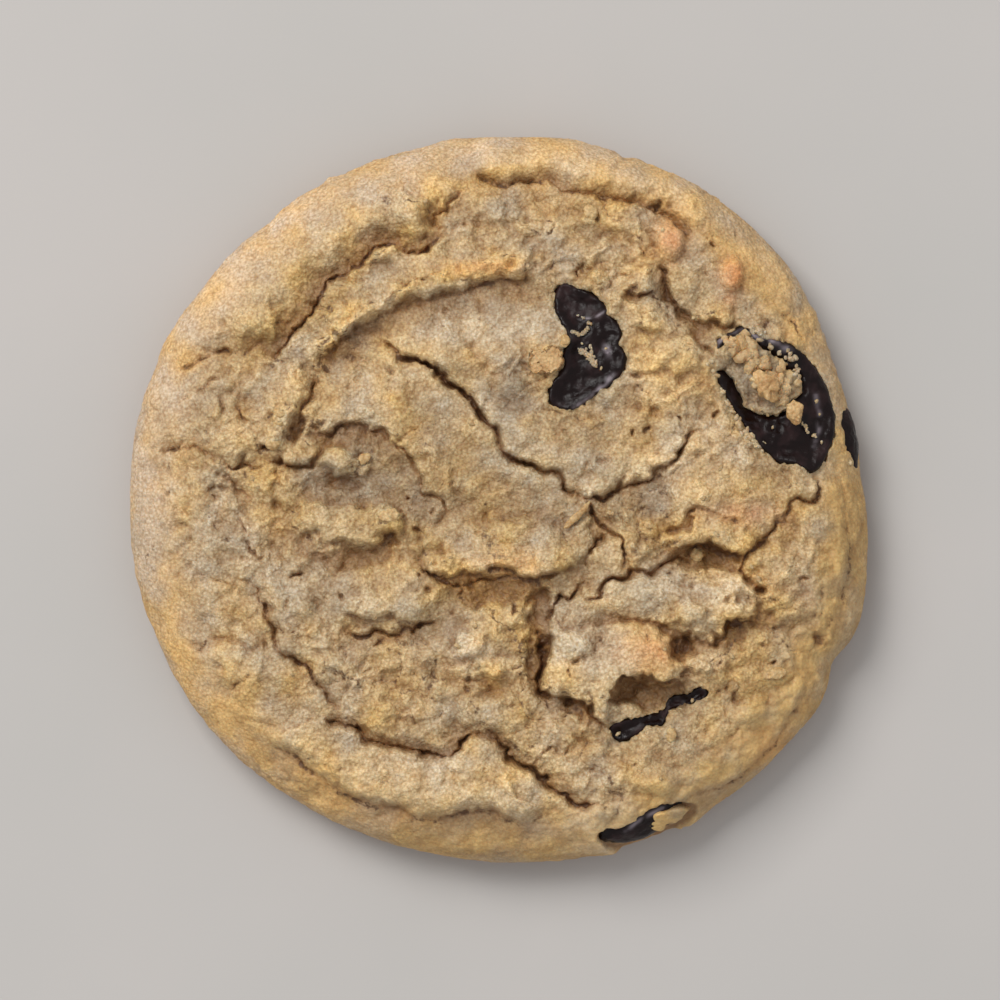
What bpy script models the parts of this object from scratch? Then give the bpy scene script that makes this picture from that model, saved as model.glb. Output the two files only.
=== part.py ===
"""A soft-baked chocolate chip cookie: one body of dough, wrinkled and cracked on top, with
five chunks of chocolate set in pockets of it.

The dough starts as an icosphere. Its points are laid out along the cookie's own section, from
the crown over the rolled rim to the flat underside, and then raised and lowered by the folds,
lumps and hollows listed below. Sizes are in millimetres, and MM turns them into metres.
+Z is up, the origin is the middle of the underside, and +Y is the far edge of the cookie.
"""

import math

import bmesh
import bpy
import numpy as np
from mathutils import Vector, noise

MM = 0.001

# ---------------------------------------------------------------- driving dimensions, in mm

RIM_RADII = (44.7, 43.9, 45.3, 44.8, 44.4, 44.1, 44.1, 44.5, 45.0,
             45.2, 45.2, 44.9, 44.3, 44.0, 44.7, 45.4, 46.1, 46.3)  # one each 20 degrees
CROWN_HEIGHT = 12.6     # dough at the middle, before the lumps
SHOULDER_HEIGHT = 11.3  # dough where the rim starts to roll over
SHOULDER = 0.76         # where that is, as a share of the rim's radius
WAIST_HEIGHT = 3.8      # height at which the cookie is widest
FOOT = 0.935            # edge of the flat underside, as a share of the rim's radius

SPHERE_DETAIL = 7       # subdivisions of the icosphere that becomes the dough
TOP_SHARE = 0.90        # share of the icosphere's area that becomes top and side
DOUGH_FACES_KEPT = 0.072
CLEARANCE = 0.3         # gap between the dough and each chunk of chocolate

WANDER = 0.55           # how far a fold strays from its drawn route
WANDER_SIZE = 4.5       # length of one such stray
WAVE_HEIGHT = 0.28      # soft swellings all over the crust
WAVE_SIZE = 7.0
ACROSS = Vector((17.3, 4.1, 9.7))  # where in the noise the strays are read
ALONG = Vector((5.9, 28.4, 3.3))

# ---------------------------------------------------------------- the wrinkled crust

# A fold is the raised edge of a plate of crust. The plate lies to the left of its route. "rise" is
# how far the plate's edge stands up, "drop" how far the ground in front of it sinks, "cut" the depth
# of the crack between them, "lip" the width of the plate's rounded edge, and "reach" how far the
# rise and the drop carry. Routes are x, y in mm.
FOLDS = {
    "north_west_rim": dict(rise=1.2, drop=0.7, cut=1.4, lip=1.0, reach=6.0, route=(
        (-27.3, 17.0), (-25.0, 20.6), (-22.4, 23.4), (-21.5, 25.3), (-18.6, 27.3),
        (-15.2, 30.2), (-13.0, 30.7), (-10.0, 30.0), (-6.9, 32.1))),
    "north_rim_lobe": dict(rise=0.9, drop=0.3, cut=0.6, lip=1.0, reach=4.0, route=(
        (-6.9, 32.1), (-8.1, 34.8), (-5.8, 36.3), (-3.6, 37.9))),
    "north_rim": dict(rise=1.1, drop=0.5, cut=0.5, lip=2.2, reach=4.0, route=(
        (-3.5, 39.3), (-1.5, 38.2), (1.5, 38.4), (4.0, 38.9), (7.0, 38.3), (10.0, 37.6),
        (14.5, 36.4), (17.5, 35.9), (19.7, 35.1), (21.8, 33.2))),
    "long_ridge": dict(rise=1.3, drop=0.6, cut=0.5, lip=2.2, reach=5.0, route=(
        (-24.2, 8.8), (-23.8, 11.0), (-22.7, 13.0), (-22.0, 15.5), (-20.3, 17.6), (-17.5, 19.4),
        (-14.5, 21.0), (-12.0, 23.3), (-8.5, 25.1), (-4.0, 25.3), (0.0, 26.0), (3.0, 26.0),
        (5.4, 25.3))),
    "arch": dict(rise=1.0, drop=0.8, cut=0.5, lip=0.9, reach=4.0, route=(
        (-22.9, 8.7), (-20.0, 9.7), (-17.0, 9.9), (-14.6, 9.6), (-13.2, 8.6), (-12.9, 7.0),
        (-11.6, 4.8), (-10.0, 3.0), (-9.4, 1.0))),
    "west_crack": dict(rise=0.9, drop=0.5, cut=1.0, lip=0.8, reach=3.0, route=(
        (-27.8, 4.9), (-26.3, 4.5), (-24.6, 3.8), (-22.9, 4.1), (-22.3, 5.2))),
    "centre_crack": dict(rise=0.6, drop=0.1, cut=2.0, lip=0.9, reach=5.0, route=(
        (-14.8, 19.0), (-12.0, 17.4), (-9.5, 16.9), (-7.5, 15.5), (-5.0, 13.3), (-2.6, 10.8),
        (-0.3, 7.6), (0.6, 5.7), (4.5, 3.5), (6.6, 2.8), (8.0, 1.1), (9.8, 0.5))),
    "mound_foot": dict(rise=0.8, drop=0.4, cut=1.4, lip=1.2, reach=4.0, route=(
        (9.8, 0.5), (12.3, 0.6), (14.7, 1.2), (16.6, 2.3), (18.4, 3.3), (21.0, 5.2),
        (22.4, 7.1), (24.2, 8.9))),
    "east_crack": dict(rise=0.3, drop=0.1, cut=1.2, lip=0.7, reach=3.0, route=(
        (11.0, -0.4), (12.2, -2.9), (14.6, -4.3), (15.0, -7.0), (16.1, -9.3))),
    "east_step": dict(rise=0.6, drop=0.3, cut=0.8, lip=0.8, reach=3.0, route=(
        (16.1, -9.4), (18.3, -8.8), (20.3, -7.6), (22.6, -7.4))),
    "east_ledge": dict(rise=1.3, drop=1.4, cut=0.3, lip=1.0, reach=3.2, route=(
        (20.4, -3.2), (21.3, -4.9), (24.0, -4.9), (27.0, -4.6), (30.0, -5.3), (31.4, -5.6))),
    "east_rim_crack": dict(rise=0.4, drop=0.3, cut=1.0, lip=0.7, reach=2.5, route=(
        (31.2, -5.6), (32.5, -3.9), (34.5, -2.2), (35.2, -0.8), (37.0, -0.5), (38.4, 0.8),
        (38.5, 3.2))),
    "south_east_plate": dict(rise=1.1, drop=0.6, cut=0.6, lip=0.9, reach=4.0, route=(
        (23.0, -17.6), (25.0, -17.7), (27.6, -16.3), (28.6, -14.9), (30.6, -14.2),
        (31.2, -12.3), (31.9, -11.2), (31.0, -9.7))),
    "deep_crack": dict(rise=0.9, drop=0.2, cut=2.6, lip=0.9, reach=3.0, route=(
        (6.0, -13.3), (5.3, -15.0), (4.6, -16.7), (5.2, -18.3), (5.2, -20.3), (5.5, -23.7))),
    "slant_crack": dict(rise=0.3, drop=0.1, cut=1.3, lip=0.7, reach=3.0, route=(
        (5.8, -13.6), (6.9, -12.1), (8.7, -11.8), (9.8, -10.2), (10.6, -8.8))),
    "south_plate_foot": dict(rise=0.8, drop=0.5, cut=0.5, lip=0.9, reach=3.0, route=(
        (5.8, -23.6), (8.5, -24.1), (10.4, -24.4), (11.8, -26.3), (13.2, -27.2))),
    "cave": dict(rise=1.0, drop=1.6, cut=0.2, lip=0.8, reach=2.8, route=(
        (14.6, -25.0), (13.6, -23.6), (14.2, -22.1), (15.3, -20.9), (17.5, -21.0),
        (19.7, -21.8), (21.8, -21.3), (22.8, -20.3))),
    "south_west_crack": dict(rise=0.7, drop=0.9, cut=1.3, lip=1.2, reach=3.6, route=(
        (12.0, -36.9), (9.5, -37.2), (7.6, -35.9), (5.6, -34.4), (4.2, -32.8), (1.6, -31.4),
        (-0.3, -29.6), (-2.4, -28.7), (-4.6, -28.6), (-5.4, -30.0), (-6.4, -31.1),
        (-10.0, -30.2), (-13.8, -29.6), (-16.2, -28.6), (-19.2, -27.0), (-20.4, -24.4),
        (-21.6, -22.6), (-24.0, -20.7), (-27.0, -18.3))),
    "west_rim_crack": dict(rise=0.3, drop=0.6, cut=0.8, lip=1.0, reach=3.0, route=(
        (-27.3, -17.6), (-27.2, -15.8), (-28.6, -14.0), (-29.4, -12.0), (-30.6, -9.7))),
    "apron": dict(rise=0.9, drop=0.6, cut=0.2, lip=1.8, reach=4.0, route=(
        (-28.2, -27.6), (-28.0, -29.6), (-26.0, -30.9), (-23.0, -33.0), (-19.3, -35.0),
        (-16.0, -37.2), (-12.5, -37.9), (-8.5, -38.6), (-5.0, -38.0), (-2.5, -37.8),
        (0.5, -38.6), (3.4, -38.6), (5.0, -37.2), (5.6, -35.4))),
    "centre_foot": dict(rise=1.0, drop=0.9, cut=0.3, lip=1.0, reach=3.5, route=(
        (-10.0, -7.8), (-8.2, -9.2), (-6.0, -9.8), (-3.0, -9.9), (0.0, -9.3), (2.5, -9.3),
        (4.6, -9.8), (6.6, -8.1), (10.3, -7.4))),
    "golden_flake": dict(rise=1.2, drop=0.7, cut=0.4, lip=0.8, reach=3.0, route=(
        (-24.6, -2.4), (-23.0, -4.2), (-21.4, -5.3), (-18.0, -5.3), (-15.0, -4.7),
        (-13.4, -4.2), (-12.3, -4.9))),
    "middle_west": dict(rise=0.9, drop=0.6, cut=0.9, lip=1.0, reach=3.5, route=(
        (-19.3, -16.9), (-17.6, -16.2), (-15.6, -15.5), (-14.2, -15.9), (-12.5, -15.3),
        (-10.5, -15.7), (-8.5, -15.1), (-6.4, -15.3))),
    "north_east_hollow": dict(rise=0.9, drop=1.0, cut=0.6, lip=1.6, reach=3.5, route=(
        (19.6, 29.0), (20.0, 27.0), (19.9, 25.2), (20.7, 23.7), (22.3, 21.9), (24.0, 20.5),
        (25.2, 18.3))),
    "south_ledge": dict(rise=0.7, drop=0.4, cut=0.3, lip=0.8, reach=2.5, route=(
        (-5.3, -21.3), (-3.6, -22.2), (-1.0, -22.6), (0.8, -22.2))),
    "east_apron": dict(rise=0.5, drop=0.5, cut=0.2, lip=1.4, reach=3.0, route=(
        (38.6, -17.5), (41.4, -13.0), (42.2, -9.0), (42.2, -5.0), (42.0, 0.0))),
}

# A lump is a rounded swelling, or a hollow where its height is negative: x, y, half length, half
# width, turn in degrees, height.
LUMPS = {
    "chocolate_mound": (11.5, 12.0, 11.5, 10.5, 0, 1.3),
    "long_tongue": (-7.5, 9.5, 11.0, 5.5, -42, 0.7),
    "centre_lump": (3.5, -6.2, 6.5, 3.2, 0, 0.8),
    "flake_lump": (-18.2, -2.6, 6.0, 2.4, 2, 0.9),
    "curl": (-19.0, 4.7, 2.6, 1.3, -12, 0.9),
    "west_lump": (-13.8, -11.0, 5.0, 3.4, -8, 0.9),
    "east_plate": (27.0, -1.6, 7.5, 3.2, 4, 0.8),
    "north_east_plate": (26.0, 5.5, 7.0, 5.0, 35, 0.5),
    "south_east_lump": (23.5, -12.4, 6.5, 4.2, -8, 0.8),
    "south_lump": (10.5, -18.5, 5.0, 5.0, 0, 1.1),
    "toasted_lump": (18.0, -18.2, 3.6, 2.8, -10, 0.7),
    "crumbly_lump": (-2.6, -17.4, 3.0, 3.4, 20, 0.8),
    "south_band": (-9.0, -34.0, 12.0, 3.2, -10, 0.6),
    "toasted_nub": (20.2, 31.4, 1.8, 3.0, 5, 0.9),
    "small_nub": (28.0, 27.2, 1.7, 2.0, 0, 0.8),
    "curl_hollow": (-18.6, 2.2, 2.2, 1.3, -10, -0.8),
    "east_hollow": (25.0, -6.4, 4.5, 1.7, 0, -0.9),
    "centre_hollow": (0.5, -11.2, 7.0, 1.8, 0, -0.5),
    "round_hole": (22.5, -17.8, 1.5, 1.5, 0, -1.4),
    "cave_floor": (16.9, -23.2, 2.8, 2.0, 0, -0.9),
}

# ---------------------------------------------------------------- the chocolate

# Chunks that lie open in the crust: middle, half length, half width, turn of the long way, how
# square the ends are (2 is an ellipse), height over the crust and depth under it.
OPEN_CHUNKS = {
    "chocolate_upper": dict(at=(10.6, 18.5), half=(7.6, 4.0), turn=94, square=2.4,
                            proud=0.45, deep=4.2),
    "chocolate_right": dict(at=(33.4, 12.0), half=(9.4, 6.3), turn=-55, square=2.3,
                            proud=0.45, deep=2.9),
    "chocolate_lower": dict(at=(19.2, -25.6), half=(6.2, 1.35), turn=19, square=2.2,
                            proud=0.25, deep=3.4),
}

# The right chunk is partly under a tongue of dough that reaches over it from the north-west.
TONGUE = dict(at=(31.3, 14.9), half=(5.0, 3.7), turn=-38, rise=0.8, sunk=1.3)

# Chunks pressed into the side wall: middle (x, y, z), half sizes along the rim, up the wall and
# through it, bearing of the wall there and how far it leans back, in degrees.
SIDE_CHUNKS = {
    "chocolate_side": dict(at=(41.6, 7.1, 5.2), half=(5.0, 2.2, 1.9), bearing=9.5, lean=20.0),
    "chocolate_rim": dict(at=(16.9, -37.9, 6.8), half=(6.5, 3.6, 2.7), bearing=-66.5, lean=46.0),
}

# ---------------------------------------------------------------- materials


def material(name, colour, roughness):
    """A plain finish in linear colour."""
    made = bpy.data.materials.new(name)
    made.use_nodes = True
    shader = made.node_tree.nodes["Principled BSDF"]
    shader.inputs["Base Color"].default_value = (*colour, 1.0)
    shader.inputs["Roughness"].default_value = roughness
    shader.inputs["Metallic"].default_value = 0.0
    return made


# ---------------------------------------------------------------- curves and blends


def smoothstep(value):
    """0 below 0, 1 above 1, and a soft S between."""
    held = np.clip(value, 0.0, 1.0)
    return held * held * (3.0 - 2.0 * held)


def smooth_route(points, step=0.5):
    """Points each half millimetre along a Catmull-Rom curve through a route."""
    p = np.asarray(points, float)
    p = np.vstack([2 * p[0] - p[1], p, 2 * p[-1] - p[-2]])
    found = []
    for a, b, c, d in zip(p, p[1:], p[2:], p[3:]):
        count = max(2, int(np.linalg.norm(c - b) / step))
        t = np.linspace(0.0, 1.0, count, endpoint=False)[:, None]
        found.append(0.5 * (2 * b + (c - a) * t + (2 * a - 5 * b + 4 * c - d) * t ** 2
                            + (3 * b - a - 3 * c + d) * t ** 3))
    return np.vstack([*found, p[-2:-1]])


def beside_route(xy, route):
    """For each point: its distance from the route, positive on the left, and the share of the
    route's length that lies before the nearest spot."""
    curve = smooth_route(route)
    way = np.gradient(curve, axis=0)
    nearest = np.empty(len(xy), int)
    for start in range(0, len(xy), 4000):
        block = xy[start:start + 4000]
        gap = ((block[:, None, :] - curve[None, :, :]) ** 2).sum(2)
        nearest[start:start + 4000] = gap.argmin(1)
    off = xy - curve[nearest]
    side = way[nearest, 0] * off[:, 1] - way[nearest, 1] * off[:, 0]
    return np.sign(side) * np.hypot(off[:, 0], off[:, 1]), nearest / (len(curve) - 1)


def rim_radius(angle):
    """The cookie's outline: a smooth closed curve through RIM_RADII."""
    count = len(RIM_RADII)
    place = (angle / (2 * np.pi) * count) % count
    low = place.astype(int)
    t = place - low
    a, b, c, d = (np.take(RIM_RADII, (low + k) % count) for k in (-1, 0, 1, 2))
    return 0.5 * (2 * b + (c - a) * t + (2 * a - 5 * b + 4 * c - d) * t ** 2
                  + (3 * b - a - 3 * c + d) * t ** 3)


def outline_middle():
    """Middle of the outline's own box, which is set down on the origin."""
    angle = np.linspace(0.0, 2 * np.pi, 721)
    rim = rim_radius(angle)[:, None] * np.column_stack([np.cos(angle), np.sin(angle)])
    return (rim.min(0) + rim.max(0)) / 2.0


def settle(shape, xy, height):
    """Gives a shape's vertices their places, in metres about the origin."""
    middle = outline_middle()
    for vertex, (x, y), z in zip(shape.verts, xy - middle, height):
        vertex.co = Vector((x, y, z)) * MM


def turned(xy, middle, degrees):
    """Points about a middle, in axes turned by some degrees."""
    c, s = math.cos(math.radians(degrees)), math.sin(math.radians(degrees))
    off = xy - np.asarray(middle)
    return off @ np.array(((c, -s), (s, c)))


# ---------------------------------------------------------------- height of the crust


def fold_height(xy, fold):
    """The rise, drop and crack of one fold, fading out at both ends of its route."""
    route = np.asarray(fold["route"])
    reach = 2.5 * fold["reach"]
    near = ((xy > route.min(0) - reach) & (xy < route.max(0) + reach)).all(1)
    height = np.zeros(len(xy))
    if not near.any():
        return height
    gap, along = beside_route(xy[near], route)
    ends = smoothstep(along / 0.12) * smoothstep((1.0 - along) / 0.12)
    plate = smoothstep(gap / fold["lip"]) * np.exp(-np.clip(gap, 0, None) / fold["reach"])
    ground = smoothstep(-gap / 0.6) * np.exp(np.clip(gap, None, 0) / (0.6 * fold["reach"]))
    crack = np.exp(-((gap + 0.3) / 0.9) ** 2)
    height[near] = ends * (fold["rise"] * plate - fold["drop"] * ground - fold["cut"] * crack)
    return height


def lump_height(xy, lump):
    """One rounded swelling or hollow."""
    x, y, half_length, half_width, turn, height = lump
    local = turned(xy, (x, y), turn) / (half_length, half_width)
    return height * smoothstep(1.25 - np.hypot(local[:, 0], local[:, 1]))


def crust_height(xy, wander=True):
    """How far the crust stands over the plain dome at each point, in mm."""
    if wander:
        cells = [Vector((x, y, 0.0)) / WANDER_SIZE for x, y in xy]
        stray = [(noise.noise(cell + ACROSS), noise.noise(cell + ALONG)) for cell in cells]
        swell = [noise.noise(cell * (WANDER_SIZE / WAVE_SIZE)) for cell in cells]
        xy = xy + WANDER * np.array(stray)
    else:
        swell = np.zeros(len(xy))
    height = WAVE_HEIGHT * np.array(swell)
    for fold in FOLDS.values():
        height += fold_height(xy, fold)
    for lump in LUMPS.values():
        height += lump_height(xy, lump)
    return height


def dome_height(share):
    """Height of the plain dome at a share of the rim's radius."""
    inner = CROWN_HEIGHT - (CROWN_HEIGHT - SHOULDER_HEIGHT) * (share / SHOULDER) ** 2
    roll = np.clip((share - SHOULDER) / (1.0 - SHOULDER), 0.0, 1.0)
    outer = WAIST_HEIGHT + (SHOULDER_HEIGHT - WAIST_HEIGHT) * np.sqrt(1.0 - roll ** 2)
    return np.where(share < SHOULDER, inner, outer)


def in_tongue(xy):
    """1 under the tongue of dough that covers part of the right chunk, 0 outside it."""
    local = turned(xy, TONGUE["at"], TONGUE["turn"]) / TONGUE["half"]
    return smoothstep(2.2 * (1.25 - np.hypot(local[:, 0], local[:, 1])))


# ---------------------------------------------------------------- the dough


def section():
    """The cookie's section as shares of the radius and heights, from the crown to the foot."""
    share = np.concatenate([np.linspace(0.0, SHOULDER, 60),
                            1.0 - (1.0 - SHOULDER) * (1.0 - np.linspace(0.0, 1.0, 60)[1:]) ** 2])
    top = np.column_stack([share, dome_height(share)])
    quarter = np.linspace(0.0, math.pi / 2, 14)[1:]
    curl = np.column_stack([FOOT + (1.0 - FOOT) * np.cos(quarter),
                            WAIST_HEIGHT * (1.0 - np.sin(quarter))])
    return np.vstack([top, curl])


def make_dough():
    """The dough: an icosphere laid out along the section, with the folds and lumps on top."""
    profile = section()
    step = np.diff(profile * (np.mean(RIM_RADII), 1.0), axis=0)
    middle = 0.5 * (profile[1:, 0] + profile[:-1, 0])
    area = np.concatenate([[0.0], np.cumsum(middle * np.hypot(step[:, 0], step[:, 1]))])

    mesh = bpy.data.meshes.new("dough")
    shape = bmesh.new()
    bmesh.ops.create_icosphere(shape, subdivisions=SPHERE_DETAIL, radius=1.0)
    ball = np.array([v.co for v in shape.verts])
    used = (1.0 - ball[:, 2]) / 2.0
    on_top = used < TOP_SHARE
    spot = np.clip(used / TOP_SHARE, 0.0, 1.0) * area[-1]
    under = FOOT * np.sqrt(np.clip((1.0 - used) / (1.0 - TOP_SHARE), 0.0, 1.0))
    share = np.where(on_top, np.interp(spot, area, profile[:, 0]), under)
    height = np.where(on_top, np.interp(spot, area, profile[:, 1]), 0.0)

    angle = np.arctan2(ball[:, 1], ball[:, 0])
    out = np.column_stack([np.cos(angle), np.sin(angle)])
    xy = out * (share * rim_radius(angle))[:, None]

    slope = np.gradient(profile[:, 1], area) / np.gradient(profile[:, 0] * 45.0, area)
    lean = np.where(on_top, np.interp(spot, area, np.arctan(-slope)), math.pi / 2)
    upper = on_top & (height > 0.75 * WAIST_HEIGHT)
    relief = np.zeros(len(xy))
    relief[upper] = crust_height(xy[upper])
    relief *= smoothstep((height - 0.75 * WAIST_HEIGHT) / 2.5)
    relief += TONGUE["rise"] * in_tongue(xy) * on_top
    xy = xy + out * (relief * np.sin(lean) * 0.6)[:, None]
    height = height + relief * np.cos(lean)

    settle(shape, xy, height)
    bmesh.ops.recalc_face_normals(shape, faces=shape.faces)
    shape.to_mesh(mesh)
    shape.free()
    mesh.shade_smooth()
    return mesh


# ---------------------------------------------------------------- chunks of chocolate


def crust_at(xy):
    """Height of the finished crust at points on the flat part of the top."""
    angle = np.arctan2(xy[:, 1], xy[:, 0])
    share = np.hypot(xy[:, 0], xy[:, 1]) / rim_radius(angle)
    return dome_height(share)


def open_chunk_mesh(name, chunk, grow=0.0):
    """A chunk that lies in the crust: a ball flattened and squared to its outline, its upper side
    following the dome. grow makes it larger all round, for the pocket that it sits in."""
    mesh = bpy.data.meshes.new(name)
    shape = bmesh.new()
    bmesh.ops.create_uvsphere(shape, u_segments=20, v_segments=8, radius=1.0)
    ball = np.array([v.co for v in shape.verts])
    radial = np.hypot(ball[:, 0], ball[:, 1])
    angle = np.arctan2(ball[:, 1], ball[:, 0])
    edge = (np.abs(np.cos(angle)) ** chunk["square"]
            + np.abs(np.sin(angle)) ** chunk["square"]) ** (-1.0 / chunk["square"])
    spread = radial ** 0.7 * edge
    half = np.asarray(chunk["half"]) + grow
    local = np.column_stack([np.cos(angle), np.sin(angle)]) * spread[:, None] * half
    c, s = math.cos(math.radians(chunk["turn"])), math.sin(math.radians(chunk["turn"]))
    xy = local @ np.array(((c, s), (-s, c))) + chunk["at"]
    top = crust_at(xy) + local_swell(chunk["at"]) + chunk["proud"] + grow
    if name.startswith("chocolate_right"):
        top -= TONGUE["sunk"] * in_tongue(xy)
    bottom = top.mean() - chunk["proud"] - chunk["deep"] - 2.0 * grow
    flat = np.sign(ball[:, 2]) * np.abs(ball[:, 2]) ** 0.3
    height = bottom + (top - bottom) * (0.5 + 0.5 * flat)
    settle(shape, xy, height)
    bmesh.ops.recalc_face_normals(shape, faces=shape.faces)
    shape.to_mesh(mesh)
    shape.free()
    mesh.shade_smooth()
    return mesh


def local_swell(middle):
    """How far the crust round a chunk stands over the plain dome."""
    around = np.asarray(middle) + 0.8 * np.array(((1, 0), (-1, 0), (0, 1), (0, -1), (0, 0)))
    return float(crust_height(around).mean())


def side_chunk_mesh(name, chunk, grow=0.0):
    """A chunk in the side wall: a flattened ball that leans back with the wall."""
    mesh = bpy.data.meshes.new(name)
    shape = bmesh.new()
    bmesh.ops.create_uvsphere(shape, u_segments=20, v_segments=8, radius=1.0)
    bearing, lean = math.radians(chunk["bearing"]), math.radians(chunk["lean"])
    outward = Vector((math.cos(bearing) * math.cos(lean), math.sin(bearing) * math.cos(lean),
                      math.sin(lean)))
    along = Vector((-math.sin(bearing), math.cos(bearing), 0.0))
    up = outward.cross(along)
    sizes = [size + grow for size in chunk["half"]]
    ball = np.array([v.co for v in shape.verts]) * sizes
    moved = ball @ np.array((along, up, outward)) + chunk["at"]
    settle(shape, moved[:, :2], moved[:, 2])
    bmesh.ops.recalc_face_normals(shape, faces=shape.faces)
    shape.to_mesh(mesh)
    shape.free()
    mesh.shade_smooth()
    return mesh


# ---------------------------------------------------------------- assembly


def add(name, mesh, finish):
    """A named object with one material."""
    made = bpy.data.objects.new(name, mesh)
    bpy.context.scene.collection.objects.link(made)
    mesh.materials.clear()
    mesh.materials.append(finish)
    return made


def cut_pocket(body, cutter):
    """Cuts the cutter's shape out of the body, and leaves the cutter out of renders."""
    cutter.hide_render = True
    cutter.display_type = "WIRE"
    cut = body.modifiers.new("pocket " + cutter.name, "BOOLEAN")
    cut.operation = "DIFFERENCE"
    cut.object = cutter
    cut.solver = "EXACT"


def main():
    for old in list(bpy.data.objects):
        bpy.data.objects.remove(old)
    crust = material("baked dough", (0.56, 0.38, 0.19), 0.85)
    chocolate = material("dark chocolate", (0.022, 0.012, 0.011), 0.4)

    dough = add("dough", make_dough(), crust)
    fewer = dough.modifiers.new("fewer faces", "DECIMATE")
    fewer.ratio = DOUGH_FACES_KEPT
    for chunks, build in ((OPEN_CHUNKS, open_chunk_mesh), (SIDE_CHUNKS, side_chunk_mesh)):
        for name, chunk in chunks.items():
            add(name, build(name, chunk), chocolate)
            pocket = add(name + "_pocket", build(name + "_pocket", chunk, CLEARANCE), chocolate)
            cut_pocket(dough, pocket)


main()
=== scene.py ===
# %% [markdown]
# # A soft-baked chocolate chip cookie
# The cookie is one body of dough with chunks of dark chocolate in it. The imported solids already
# have its size and its main folds. Here the dough gets its fine cracks, crumb and colours, and
# each chunk of chocolate its wrinkles and shine. Everything is drawn in millimetres, seen from
# above, and MM turns it into metres at the end.

# %% Tools and the frame
import math

import bmesh
import bpy
import numpy as np
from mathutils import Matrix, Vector


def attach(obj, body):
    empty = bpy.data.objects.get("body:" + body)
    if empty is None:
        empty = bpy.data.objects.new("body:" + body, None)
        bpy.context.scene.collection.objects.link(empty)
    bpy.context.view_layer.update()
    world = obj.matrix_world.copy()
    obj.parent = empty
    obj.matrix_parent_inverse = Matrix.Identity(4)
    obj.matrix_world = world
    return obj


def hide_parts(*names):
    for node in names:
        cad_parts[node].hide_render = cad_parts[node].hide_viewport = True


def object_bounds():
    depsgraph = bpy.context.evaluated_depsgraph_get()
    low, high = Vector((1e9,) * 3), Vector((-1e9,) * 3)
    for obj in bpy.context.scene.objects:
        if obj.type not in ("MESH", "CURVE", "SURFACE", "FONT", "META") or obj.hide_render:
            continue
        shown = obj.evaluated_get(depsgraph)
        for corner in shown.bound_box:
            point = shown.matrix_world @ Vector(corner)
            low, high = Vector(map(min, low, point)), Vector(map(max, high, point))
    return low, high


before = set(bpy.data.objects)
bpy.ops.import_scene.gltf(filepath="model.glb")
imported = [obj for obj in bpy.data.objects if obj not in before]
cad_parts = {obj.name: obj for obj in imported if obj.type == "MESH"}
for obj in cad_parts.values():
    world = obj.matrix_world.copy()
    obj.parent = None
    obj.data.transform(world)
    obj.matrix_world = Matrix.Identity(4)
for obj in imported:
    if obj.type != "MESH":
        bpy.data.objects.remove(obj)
cad_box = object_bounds()
MM = 0.001
print("the solids' box in mm:", [[round(v / MM, 1) for v in corner] for corner in cad_box])

# %% [markdown]
# ## The plain cookie
# A ball of dough slumps in the oven into a low dome with a rolled rim and a flat foot. Its
# outline is nearly round. A circle would be too even and a traced outline too stiff, so a curve
# runs through a few radii, and small dents and bulges are added where the real one has them.

# %% Outline and section of the cookie
RIM_RADII = (44.7, 43.9, 45.3, 44.8, 44.4, 44.1, 44.1, 44.5, 45.0,
             45.2, 45.2, 44.9, 44.3, 44.0, 44.7, 45.4, 46.1, 46.3)  # one each 20 degrees
RIM_DENTS = ((334, 3.5, -1.3), (70, 1.2, -0.5), (130, 2.5, -0.35), (4, 3.0, -0.3),
             (118, 0.8, 0.4), (301, 2.0, 0.25), (88, 12.0, 0.2))  # bearing, half width, depth
CROWN_HEIGHT, SHOULDER_HEIGHT, WAIST_HEIGHT = 12.0, 11.0, 3.8
SHOULDER, FOOT = 0.76, 0.935  # as shares of the rim's radius
MEAN_RADIUS = 45.0


def smoothstep(value):
    """0 below 0, 1 above 1, and a soft S between."""
    held = np.clip(value, 0.0, 1.0)
    return held * held * (3.0 - 2.0 * held)


def catmull_rom(a, b, c, d, t):
    """The curve between b and c that also heeds a and d."""
    return 0.5 * (2 * b + (c - a) * t + (2 * a - 5 * b + 4 * c - d) * t ** 2
                  + (3 * b - a - 3 * c + d) * t ** 3)


def plain_rim(angle):
    """The outline without its dents."""
    count = len(RIM_RADII)
    place = (angle / (2 * np.pi) * count) % count
    low = place.astype(int)
    around = (np.take(RIM_RADII, (low + k) % count) for k in (-1, 0, 1, 2))
    return catmull_rom(*around, place - low)


def rim_radius(angle):
    """The cookie's outline, dents and bulges included."""
    radius = plain_rim(angle)
    for bearing, width, depth in RIM_DENTS:
        away = (np.degrees(angle) - bearing + 180.0) % 360.0 - 180.0
        radius = radius + depth * np.exp(-(away / width) ** 2)
    return radius


def dome_height(share):
    """Height of the plain dome at a share of the rim's radius."""
    inner = CROWN_HEIGHT - (CROWN_HEIGHT - SHOULDER_HEIGHT) * (share / SHOULDER) ** 2
    roll = np.clip((share - SHOULDER) / (1.0 - SHOULDER), 0.0, 1.0)
    outer = WAIST_HEIGHT + (SHOULDER_HEIGHT - WAIST_HEIGHT) * np.sqrt(1.0 - roll ** 2)
    return np.where(share < SHOULDER, inner, outer)


turn = np.linspace(0.0, 2 * np.pi, 721)
rim_line = plain_rim(turn)[:, None] * np.column_stack([np.cos(turn), np.sin(turn)])
MIDDLE = (rim_line.min(0) + rim_line.max(0)) / 2.0
print("the drawing's middle sits", np.round(MIDDLE, 2), "mm from the box's middle")

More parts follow.
